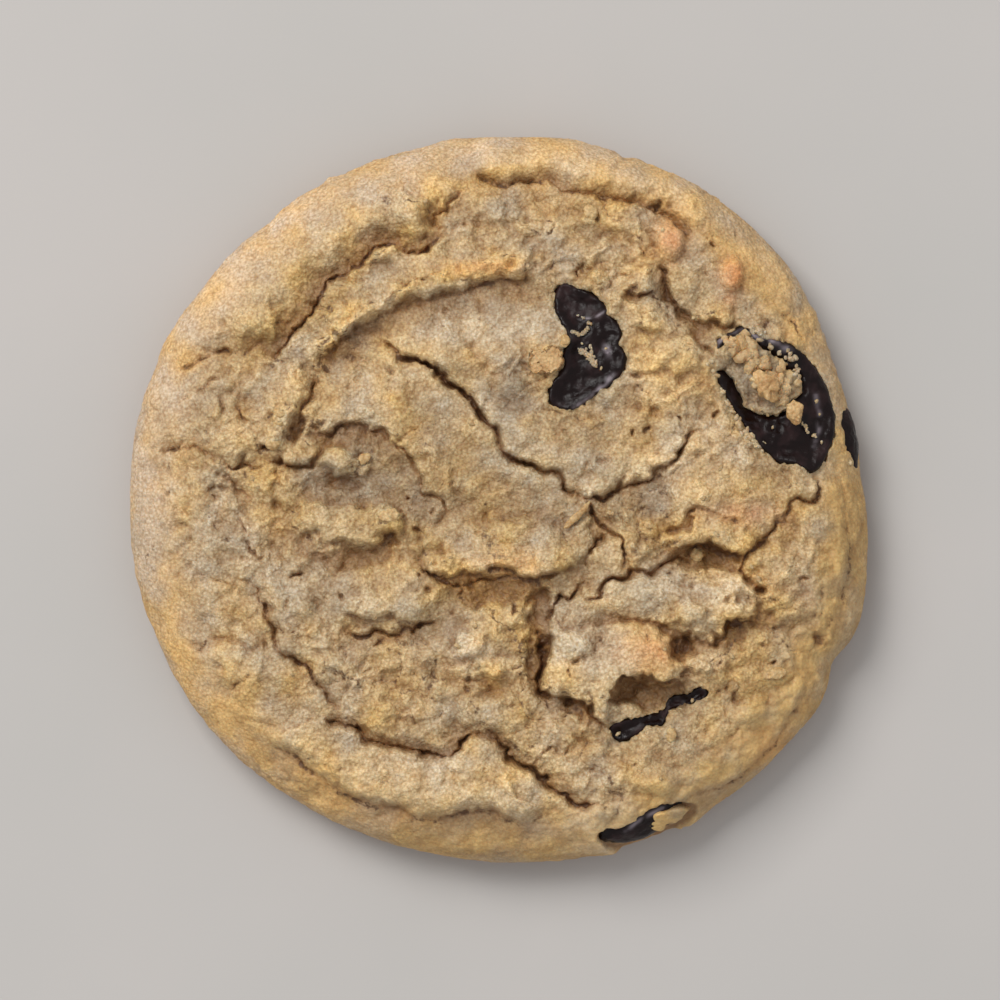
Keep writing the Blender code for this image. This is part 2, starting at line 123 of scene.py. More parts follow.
# %% [markdown]
# ## Noise
# Baked dough is uneven at every size: soft swells some millimetres wide, crumbs under one
# millimetre, and sugar grains smaller still. Blender's own noise is asked for one spot at a
# time, which is slow for half a million spots. So two kinds are written out for whole arrays:
# a smooth one for swells, and one made of packed round grains for crumbs.

# %% Smooth noise
NOISE_CELLS = 256  # side of the table of random values, after which the noise repeats


def ripple(x, y, size, seed):
    """Smooth noise between -1 and 1, with swells of one size, each seed turned its own way."""
    table = np.random.default_rng(seed).uniform(-1.0, 1.0, (NOISE_CELLS, NOISE_CELLS))
    c, s = math.cos(seed) / size, math.sin(seed) / size
    x, y = c * x - s * y, s * x + c * y
    column, row = np.floor(x).astype(int), np.floor(y).astype(int)
    u, v = smoothstep(x - column), smoothstep(y - row)
    c0, c1 = column % NOISE_CELLS, (column + 1) % NOISE_CELLS
    r0, r1 = row % NOISE_CELLS, (row + 1) % NOISE_CELLS
    low = table[c0, r0] * (1 - u) + table[c1, r0] * u
    high = table[c0, r1] * (1 - u) + table[c1, r1] * u
    return low * (1 - v) + high * v


def swells(x, y, size, seed, layers=3):
    """Several sizes of ripple, each half as large and high as the one before."""
    return sum(ripple(x, y, size / 2 ** k, seed + k) / 2 ** k for k in range(layers))


def knobs(x, y, size, seed, layers=3):
    """Rounded lumps with sharp creases between them, each layer half as large and high."""
    return sum((np.abs(ripple(x, y, size / 2 ** k, seed + k)) - 0.33) / 2 ** k
               for k in range(layers))


def bent(x, y, layers):
    """Places moved a little way from their own, by layers of reach, size and two seeds."""
    bent_x, bent_y = x, y
    for reach, size, seed, other_seed in layers:
        bent_x = bent_x + reach * ripple(x, y, size, seed)
        bent_y = bent_y + reach * ripple(x, y, size, other_seed)
    return bent_x, bent_y


# %% Grainy noise
def grains(x, y, size, seed):
    """Packed round grains: 1 on top of a grain, 0 in the gaps between them."""
    spots = np.random.default_rng(seed).uniform(0.0, 1.0, (NOISE_CELLS, NOISE_CELLS, 3))
    column, row = np.floor(x / size).astype(int), np.floor(y / size).astype(int)
    height = np.zeros_like(x)
    for dc in (-1, 0, 1):
        for dr in (-1, 0, 1):
            spot = spots[(column + dc) % NOISE_CELLS, (row + dr) % NOISE_CELLS]
            away = np.hypot(column + dc + spot[..., 0] - x / size,
                            row + dr + spot[..., 1] - y / size)
            height = np.maximum(height, (1.0 - away ** 2) * (0.5 + 0.5 * spot[..., 2]))
    return height


# %% [markdown]
# ## The folds of the crust
# As the dough spreads, its skin wrinkles into plates with rounded edges, and tears between them.
# Sculpting these by hand could not be repeated, so one fold is a route on the crust with a
# height and a rounding on each side of it, and a crack in the middle. A crack with a negative
# depth is a ridge. Left and right are those of someone who walks along the route.

# %% Folds: (left height, left rounding, right height, right rounding, crack depth, half width)
FOLDS = {
    "north_west_rim": (1.05, 4.8, 0.5, 0.7, 1.2, 0.36, (
        (-27.6, 16.6), (-26, 18.9), (-24.9, 20.5), (-23.2, 22.6), (-22.4, 23.3), (-21.6, 24.9),
        (-20.4, 26.4), (-18, 27.9), (-15.8, 29.8), (-14.7, 30.6), (-13, 30.6), (-10.5, 30),
        (-9.3, 30.4), (-8, 31.2), (-6.7, 32.2), (-5.9, 32.4))),
    "north_rim_lobe": (0.9, 1.8, 0.2, 0.6, 0.9, 0.32, (
        (-6.9, 32), (-8, 34), (-7.9, 34.6), (-7, 35.3), (-6, 36), (-5, 36.9), (-3.7, 38))),
    "north_rim": (1.35, 1.9, 0.35, 0.6, 0.9, 0.4, (
        (-4.4, 39.8), (-3.2, 39.5), (-1.8, 38.6), (-0.5, 38.1), (1, 38.1), (2.2, 38.7), (4.7, 38.6),
        (5.6, 39.2), (6.7, 38.8), (8.5, 37.8), (10.5, 37.5), (12.3, 36.8), (15, 36.2), (17.5, 35.8),
        (20.2, 34.8), (22.2, 32.8), (23, 31))),
    "ridge_foot": (0.9, 1.3, 0, 0.9, 0.5, 0.8, (
        (-21.8, 15.6), (-19.8, 18.6), (-17.5, 20.8), (-15, 22), (-12.6, 22.9), (-8.7, 24.3),
        (-5.5, 25.2), (-3, 25.7), (0.5, 26.2), (4.6, 26.4))),
    "ridge_crest": (0, 1, 0, 1, -1.3, 1.7, (
        (-24.2, 13.2), (-22.3, 17.4), (-19.6, 20.4), (-16.1, 23), (-12, 25.2), (-8.5, 26.5),
        (-5.5, 27.2), (-2, 27.8), (2, 28.4), (5.8, 29.2))),
    "west_shoulder": (0.7, 2.4, 0.15, 0.8, 0.7, 0.4, (
        (-39.5, 14.2), (-37.4, 16.6), (-35.6, 17.4), (-33.4, 18.2), (-31, 18), (-29.2, 18.6),
        (-27.4, 17.8), (-26.2, 18.6))),
    "west_lobe": (0.5, 2.2, 0.2, 0.9, 0.7, 0.36, (
        (-41.8, 4.4), (-39.4, 6.2), (-37, 6.6), (-34.8, 5.4), (-32.3, 4.2), (-30.2, 4.7),
        (-28.4, 3.8))),
    "west_dent": (0.4, 2, 0.1, 0.9, 0.6, 0.36, (
        (-36.8, -0.6), (-34.6, 1), (-32.8, 2.2), (-31.2, 1.4), (-29.8, -0.4), (-28.4, -0.8))),
    "south_west_lobe": (0.1, 0.8, 0.5, 2, 0.7, 0.36, (
        (-37.2, -19.4), (-36.3, -17.6), (-34.4, -16.6), (-32.6, -17), (-30.6, -17.9), (-28.9, -17.6),
        (-27.4, -18.3))),
    "ridge_flank": (0.5, 1.5, 0, 1, 0.3, 0.8, (
        (-20.2, 18.6), (-19, 19.2), (-17.5, 20.1), (-15.5, 20.4), (-13.6, 19.7))),
    "west_ring": (0.9, 1.7, 0.35, 0.7, 1.5, 0.34, (
        (-24.9, 5.6), (-24.4, 7.9), (-23.9, 8.7), (-24.1, 10.2), (-23.6, 11.4), (-22.6, 12.5),
        (-22.7, 13.4), (-22.2, 14.8), (-21.4, 16.2))),
    "west_hook": (0.7, 0.8, 0.3, 0.6, 1.4, 0.45, (
        (-28.4, 4.3), (-27, 4.7), (-26, 4), (-25, 3.7), (-23.8, 3.8), (-22.8, 4.1), (-22.3, 5.1),
        (-21, 6.3))),
    "arch": (0.85, 0.9, 0.1, 1.4, 0.7, 1.2, (
        (-24, 7.6), (-22.4, 8.2), (-20.8, 8.4), (-19.4, 8.9), (-17.6, 9), (-15.6, 8.6), (-14.6, 8.4),
        (-14, 7.6), (-13.6, 6.6), (-12.8, 5.6))),
    "arch_side": (0.4, 0.9, 0, 0.8, 0.9, 0.3, (
        (-13.4, 8), (-12.7, 6.3), (-11.4, 5.3), (-10.3, 3.6), (-9.6, 2.2), (-9.5, 1), (-8.3, 0.4),
        (-6.8, -0.6), (-5.8, -1.2), (-4.6, -1.4))),
    "centre_crack": (0.7, 0.9, 0.35, 0.9, 2.8, 0.42, (
        (-14.6, 19.2), (-13.4, 18.1), (-12, 17.3), (-10, 17.1), (-8.3, 16.5), (-7.3, 15.5),
        (-6.3, 14.2), (-4.4, 12.7), (-3.2, 11.8), (-2.3, 10.5), (-1.3, 9), (-0.5, 8.2), (0, 6.8),
        (0.7, 5.7), (2.8, 4.1), (5.2, 3.2), (6.4, 3.3), (7.2, 2.6), (7.8, 1.7), (8.8, 1.1),
        (10.4, 0.9))),
    "mound_foot": (0.9, 1, 0.25, 0.8, 1.4, 0.38, (
        (9.4, 1), (11.5, 0.6), (12.8, 0.7), (14.2, 1.1), (15.3, 1.9), (16.8, 2.3), (18.4, 2.7),
        (19.2, 3.7), (20.3, 4.5), (21.3, 5.3), (22.2, 6.5), (23, 7.6), (24.3, 8.8))),
    "east_crack": (0.3, 0.6, 0.3, 0.6, 1.7, 0.42, (
        (10.8, 1), (11, 0.2), (11.3, -0.9), (11.7, -1.9), (12.3, -3), (13.8, -4), (14.9, -4.6),
        (15.1, -6), (15.3, -7.8), (16, -9))),
    "east_crack_fork": (0.3, 0.6, 0.2, 0.6, 1.2, 0.4, (
        (12.5, -3.2), (11.4, -5), (10.8, -6), (10.7, -7.4), (10.9, -9))),
    "east_step": (0.5, 0.8, 0.4, 0.6, 1.2, 0.36, (
        (9.9, -12.8), (11.8, -11.8), (12.8, -10.3), (14.2, -9.8), (15.8, -9.6), (16.4, -9), (18, -9.1),
        (19.5, -7.9), (21, -7.4), (23.2, -7.5))),
    "east_ledge": (1.5, 0.8, -0.5, 1, 0.9, 1.2, (
        (20.3, -4.2), (21.4, -5.6), (23.5, -5.7), (26, -5.8), (28, -6.3), (30.4, -7.4))),
    "east_lip": (0.45, 0.6, 0, 0.8, 0.3, 0.5, (
        (20.6, -2.9), (21.7, -2.6), (22.6, -2.1), (23.4, -1.4), (24.7, -1.2), (26.8, -2), (29.5, -2.9),
        (31, -3.2))),
    "east_rim_crack": (0.4, 0.6, 0.3, 0.6, 0.8, 0.34, (
        (31.2, -12.6), (31.8, -11.3), (31, -9.9), (29.9, -9.3), (29.5, -8.2), (30.8, -5.9), (31.6, -5),
        (33, -3.5), (33.5, -2.5), (35, -1.8), (35, -0.7), (36.5, -0.3), (37.8, -0.3), (38.3, 1),
        (38.8, 3.3))),
    "south_east_plate": (0.9, 0.8, 0.1, 0.7, 0.7, 0.4, (
        (21.5, -16.6), (23.6, -17.4), (25.3, -17.6), (26.2, -16.9), (27.3, -16.4), (28.3, -15),
        (30.5, -14.7), (31.2, -13.6), (31.6, -12))),
    "deep_crack": (0.7, 0.8, 0.4, 0.8, 2.8, 0.75, (
        (4.6, -15.2), (4.7, -16.8), (5.2, -18.4), (5.2, -20.4), (5.3, -22), (5.5, -24.2))),
    "slant_crack": (0.4, 0.7, 0.3, 0.7, 1.7, 0.38, (
        (4.6, -16), (5.5, -14.9), (6.1, -13.6), (6.6, -12.8), (7.2, -12.1), (8.4, -12), (9.3, -11),
        (10, -10), (10.7, -8.8))),
    "plate_foot": (0.8, 0.8, 0.1, 0.7, 0.8, 0.42, (
        (5.7, -23.9), (7.5, -23.9), (8.6, -24.3), (10.4, -24.8), (11.8, -26.3), (13.2, -27.4))),
    "cave": (1, 0.5, -0.9, 0.9, 0.9, 0.8, (
        (13.6, -25.4), (13.5, -23.6), (13.8, -22.3), (15, -21), (17, -21.3), (19, -21.9),
        (21.8, -21.6), (23, -20.6))),
    "centre_foot": (0.9, 0.9, 0, 0.8, 0.6, 0.6, (
        (-9.6, -8), (-8, -9.4), (-6.3, -9.8), (-4.8, -9.3), (-3.4, -9.5), (-2.3, -8.9), (-1, -8.5),
        (0.8, -8.8), (2.3, -9.6), (4.3, -10.2), (6.4, -9), (9.9, -7.8))),
    "basin_crack": (0.1, 0.5, 0.1, 0.5, 1.3, 0.36, (
        (-10.2, -7.5), (-9.2, -8.2), (-8.2, -9.2), (-7, -10), (-4, -10.7), (-1.5, -9.9), (0, -9.6),
        (2.4, -9.4))),
    "middle_west": (0.5, 0.8, 0.2, 0.6, 1.6, 0.42, (
        (-19.4, -16.7), (-18, -16.2), (-16.4, -16.4), (-15.6, -15.5), (-14.6, -15.8), (-12.8, -16.2),
        (-11.2, -15.8), (-10.4, -16), (-9.5, -15.2), (-7.7, -15.5), (-6.2, -15.2))),
    "middle_west_lip": (0.8, 0.6, 0, 0.6, 0.25, 0.5, (
        (-19.2, -13.4), (-17, -14.2), (-15, -14.2), (-13.5, -13.8), (-12.3, -14.4), (-10.5, -14.9),
        (-8, -15))),
    "flake_foot": (0.1, 0.6, -0.3, 0.8, 0.45, 0.6, (
        (-25, -1.3), (-24.8, -2.8), (-24, -3.6), (-22.6, -5), (-21, -5.9), (-18, -5.6), (-15.4, -5.2),
        (-14, -4.6), (-12.6, -4.7), (-12, -5.6))),
    "north_east_hollow": (0.7, 3, 0.5, 0.8, 1.5, 0.75, (
        (29.6, 21), (27.4, 21.2), (24.8, 21.2), (23.4, 21.5), (22.3, 22.5), (21, 23.8), (20.2, 25.2),
        (20.1, 26.6), (19.8, 28.2), (19.7, 29.4))),
    "north_east_tail": (0.3, 1, 0.3, 0.8, 0.9, 0.5, (
        (26, 15.5), (25.4, 17.6), (24.3, 19), (23.6, 20.2), (23, 21.6))),
    "south_ledge": (0.4, 0.7, 0, 0.8, 0.4, 0.5, (
        (-5.4, -21.5), (-4, -22.2), (-2, -22.5), (-1, -22.7), (0.6, -22.4))),
    "south_west_ring": (0.25, 0.7, 0.5, 2, 1.5, 0.38, (
        (-19.8, -26.2), (-20.2, -24.9), (-21, -23.6), (-21.9, -22.3), (-23, -21.2), (-24.5, -20),
        (-25.6, -19.3), (-26.9, -18.4), (-27.4, -17.2), (-27.2, -15.7), (-28.2, -14.6), (-28.6, -13.5),
        (-29.3, -12.5), (-29.3, -11), (-30, -10.2), (-30.7, -9.4))),
    "south_crack": (0.6, 1, 0.6, 2.2, 2.2, 0.42, (
        (12.6, -36.7), (11.3, -37.2), (10, -37.6), (9, -37), (8.2, -35.9), (5.8, -34.9), (4.8, -33.6),
        (4, -32.5), (2, -31.6), (1, -30.9), (0.3, -29.7), (-1.1, -29.3), (-2.3, -28.6), (-4.3, -28.5),
        (-5, -29.1), (-5.4, -30.3), (-6.1, -31.2), (-7.5, -31.1), (-9.3, -30.5), (-10.6, -30),
        (-13.3, -30), (-15.5, -29.4), (-16.4, -28.9), (-17.2, -27.9), (-19.2, -27.2), (-20.8, -26.9),
        (-21.4, -25.6))),
    "apron": (0.9, 1.8, -0.1, 1, 0.45, 0.7, (
        (-28.2, -27), (-28.2, -29.5), (-26.2, -30.9), (-24.5, -31.9), (-22.8, -33.2), (-21, -34.3),
        (-19, -35.3), (-17.5, -36.4), (-16, -37.4), (-14, -37.7), (-12, -38.1), (-10.2, -38.9),
        (-8, -38.9), (-6, -38.4), (-4.2, -38), (-2.4, -37.8), (-1, -38.2), (0.5, -38.9), (2.5, -39.1),
        (4, -38.6), (5.2, -37.5), (5.5, -36.2))),
    "east_apron": (0.2, 1.6, 0, 1, 0.3, 0.5, (
        (38.9, -16.5), (41.3, -13), (42.2, -9), (42.3, -5), (42, 0), (41.4, 4))),
    "south_east_apron": (0.4, 1.2, 0, 1, 0.3, 0.5, (
        (22, -36.3), (25, -35.4), (27.5, -34.8), (30, -33), (33.5, -29.6), (36.6, -25), (37.9, -21))),
    "chunk_brow": (0.2, 0.8, 0.2, 0.6, 0.9, 0.4, (
        (9, 30.2), (9.5, 29), (9.3, 28), (9.5, 27.3), (8.7, 26.4))),
    "pale_brow": (0.7, 0.7, 0, 0.6, 0.5, 0.45, (
        (14.6, 25.9), (15.4, 25.1), (17, 24.3), (18.6, 25), (19.8, 25.6))),
    "pale_step": (0.6, 0.7, 0, 0.6, 0.35, 0.4, (
        (15.8, 21.2), (16.6, 20.6), (18, 19.9), (20.6, 20.1))),
}
print(len(FOLDS), "folds")

# %% [markdown]
# ## Small cracks and pores
# Between the folds the skin has hair cracks a few millimetres long, and pores where bubbles of
# steam broke through. They are few enough to be placed one by one, which keeps the crust's
# smooth parts whole, where noise would crack it all over.

# %% Fissures (depth, half width, route) and pores (x, y, radius, depth)
FISSURES = (
    (0.6, 0.26, ((-36.4, 18.4), (-35.5, 18), (-34.2, 18), (-33.2, 18.3), (-32.8, 17.4))),
    (0.7, 0.26, ((-32.4, 19.3), (-31.5, 18.5), (-30.2, 18.3), (-28.9, 18.6))),
    (0.5, 0.24, ((-37.1, 16.5), (-38.3, 15.9), (-39.9, 15.4))),
    (0.8, 0.3, ((-33.3, 15.1), (-34.7, 14.8), (-36, 13.6), (-38, 12.5), (-39.5, 11.4))),
    (0.6, 0.26, ((-33.6, 12.8), (-33.5, 11.3), (-33.5, 10.5), (-34.9, 9.2), (-36.3, 8))),
    (0.7, 0.28, ((-32.2, 11.6), (-31, 10.5), (-29.7, 9.8), (-28.9, 8.8))),
    (0.6, 0.26, ((-38, 7.6), (-39.3, 6.1), (-41.2, 5.6))),
    (0.9, 0.32, ((-34.8, 5.3), (-34, 4.2), (-32.3, 4), (-31, 4.6), (-29.6, 4), (-28.2, 3.6))),
    (0.6, 0.28, ((-34.6, 2.9), (-33, 2.6), (-32.2, 2.1))),
    (0.7, 0.28, ((-37, 0.2), (-35.6, 0.9), (-34.3, 1.4))),
    (0.5, 0.25, ((-43.3, 1.7), (-42.3, 1.3), (-40.6, 1.3))),
    (0.5, 0.25, ((-41.2, -0.5), (-39.6, -0.5), (-38.2, -1.3), (-37.1, -1.9))),
    (0.7, 0.3, ((-31.6, -1.8), (-30.7, -3.5), (-30.2, -5.5), (-29.4, -6.5), (-27.4, -7.8))),
    (0.5, 0.26, ((-24.6, -5.2), (-23.7, -6), (-24.8, -7))),
    (1, 0.32, ((-25.9, -9.3), (-25, -9), (-24, -8.7), (-22.5, -8.1))),
    (0.5, 0.3, ((-21.5, -6.3), (-20.5, -7.3), (-19.3, -8.3), (-18.4, -9))),
    (0.5, 0.24, ((-17.3, -6.8), (-16, -6.5), (-15, -5.8))),
    (0.7, 0.26, ((-19.7, -10.8), (-18.7, -12), (-18.6, -13.4))),
    (0.9, 0.32, ((-14, -16.2), (-14.4, -16.8), (-15.9, -18))),
    (0.9, 0.36, ((-12.5, -22.2), (-13.7, -22.7), (-14.7, -23.8), (-15, -25.4))),
    (0.5, 0.4, ((-11.2, -26.2), (-9.8, -26.6), (-7.5, -25), (-6.3, -25.5), (-5.9, -26.2))),
    (0.4, 0.26, ((-27.4, -19.4), (-28, -20.1), (-29, -20.2))),
    (0.4, 0.26, ((-31.4, -20.3), (-32.6, -20.9), (-34, -20.4))),
    (0.6, 0.26, ((-29.6, -20.6), (-31, -21.4), (-32.3, -22.8), (-32.9, -23.6))),
    (0.5, 0.24, ((-35.3, -11.2), (-34.6, -12.4), (-33.9, -13.3))),
    (0.6, 0.28, ((-19.9, -33), (-19.3, -32.8), (-18.9, -32.1))),
    (0.5, 0.3, ((-28.3, -27.2), (-28.1, -29.4), (-28.6, -30.2))),
    (0.5, 0.3, ((-10.5, -38.5), (-10.3, -39.6))),
    (1, 0.34, ((4.3, -32.6), (4.9, -31), (6, -30.5), (7.5, -30.7), (8.4, -30.1))),
    (0.6, 0.3, ((12.4, -36.3), (13.9, -36.3))),
    (0.6, 0.28, ((-14.6, 16.9), (-13.5, 16), (-12.4, 15.8))),
    (0.5, 0.26, ((-9.8, 24.6), (-9, 23.8), (-8.2, 23.2))),
    (0.5, 0.26, ((-6.3, 22.3), (-6.6, 22.9), (-6.2, 23.5))),
    (0.5, 0.24, ((3.1, 34.5), (3.9, 34.1), (5, 33.9))),
    (0.5, 0.26, ((-4.6, 35.2), (-4.4, 33.9), (-4.6, 32.6))),
    (0.5, 0.3, ((-5.4, 28.4), (-4, 29), (-2.4, 29.9))),
    (0.5, 0.25, ((-15.1, 36.1), (-15.1, 34.9))),
    (0.5, 0.25, ((-5.6, 41.4), (-4.9, 41.8), (-4.1, 41.9))),
    (0.7, 0.28, ((11.9, 34.8), (11.8, 33.2))),
    (0.5, 0.28, ((15, 32.6), (16.7, 32.1), (17.2, 31.4), (16.9, 30.3), (17.4, 29.3))),
    (0.5, 0.28, ((33.7, 22.6), (35.2, 21.5), (35.8, 20.6), (37.3, 18.7))),
    (0.7, 0.3, ((-2, 12.4), (-1.4, 11.2), (-1.9, 10.2))),
    (0.6, 0.3, ((19.6, 10.4), (21, 9.9), (21.8, 9.2))),
    (0.5, 0.28, ((10.3, 8.5), (12, 8.8), (12.8, 8.4))),
    (0.6, 0.3, ((8.3, 8.2), (9.3, 6.5), (10.1, 5.2))),
    (0.6, 0.3, ((15.9, 15.3), (17.2, 14.9), (18.2, 15.1))),
    (0.8, 0.26, ((15.3, -5), (16.3, -6.2), (17.1, -7.5))),
    (0.7, 0.28, ((0.9, -12.2), (1.6, -13.5), (1.4, -14.5))),
    (0.4, 0.3, ((-0.3, -15.3), (-0.1, -16), (-0.6, -16.8))),
    (0.5, 0.26, ((-2.3, -2.3), (-1.6, -3.4))),
    (0.6, 0.28, ((4.4, -24), (3.2, -24.3), (2.9, -23.4))),
    (0.5, 0.3, ((3.9, -25.7), (3.2, -27.5))),
    (0.7, 0.3, ((24.3, -18.2), (25.2, -17.8), (26, -17.2), (27.6, -16.6))),
    (0.5, 0.3, ((35.4, -4.9), (37, -6), (37.2, -7.9))),
    (0.4, 0.3, ((39.1, -9.8), (38.7, -14.2))),
    (0.5, 0.3, ((28.1, -33.9), (29.3, -33.2), (31.2, -32.8))),
    (0.5, 0.35, ((14.8, -32.1), (16.5, -31.3), (18.2, -30.6))),
    (0.5, 0.3, ((20.2, 19), (21.5, 18.6), (23, 18.9))),
    (0.5, 0.35, ((-25.3, 18.9), (-27, 18), (-27.4, 17))),
)
PORES = (
    (19.4, 36, 0.55, 1.6), (-28.8, 6.5, 0.4, 1.2), (25.5, 31, 0.3, 0.8), (25, 27.3, 0.3, 0.6),
    (28.7, 32.4, 0.3, 0.5), (-27.2, 21.4, 0.25, 0.8), (-29.4, 26.7, 0.25, 0.5), (-25.3, 7.7, 1.2, 0.9),
    (-11.3, 0.2, 0.3, 0.8), (-11.5, -1.3, 0.3, 0.8), (-10, -3.3, 0.3, 0.9), (-8.5, -0.8, 0.3, 0.7),
    (15.7, 8.5, 0.4, 1), (17.6, 9, 0.3, 0.7), (26.1, 10.3, 0.35, 1), (5.4, -23.3, 0.75, 1.2),
    (8.5, -24.3, 0.6, 1), (-9.2, -9.3, 0.3, 0.6), (-7.7, -8, 0.3, 0.6), (-8.4, -11, 0.3, 0.7),
    (-5.3, -10.2, 0.4, 0.7), (-5, -11.3, 0.4, 0.7), (-6, -13.8, 0.3, 0.6), (-3.8, -23.5, 0.45, 0.7),
    (9, -19.8, 0.4, 0.6), (8.6, -21.2, 0.4, 0.6), (22.3, -17.8, 1.35, 1.6), (26.6, -19.3, 0.6, 0.5),
    (32.3, -17.7, 0.3, 0.6), (33.3, -19.8, 0.3, 0.7), (37.1, -9.4, 0.3, 0.5), (38.8, -17.2, 0.75, 0.9),
    (26.8, -23.2, 0.35, 0.6), (27.7, -23, 0.3, 0.5), (28.3, -23.8, 0.35, 0.7), (31.7, -11, 0.5, 1),
    (21, -3.6, 0.8, 1), (-14, -4.5, 0.9, 0.9), (-7, 15.6, 0.8, 0.9), (16.2, 25, 1, 1.1),
    (-24.6, 21.2, 0.3, 0.7))
print(len(FISSURES), "fissures and", len(PORES), "pores")

# %% [markdown]
# ## Lumps and flakes
# The broken middle of the cookie is a heap of soft lumps with plates of crumb on top. A lump is
# given by a middle, two half sizes, a turn, a height and a steepness. A flake stands on the
# crust with a broken edge, so it is drawn as a closed outline.

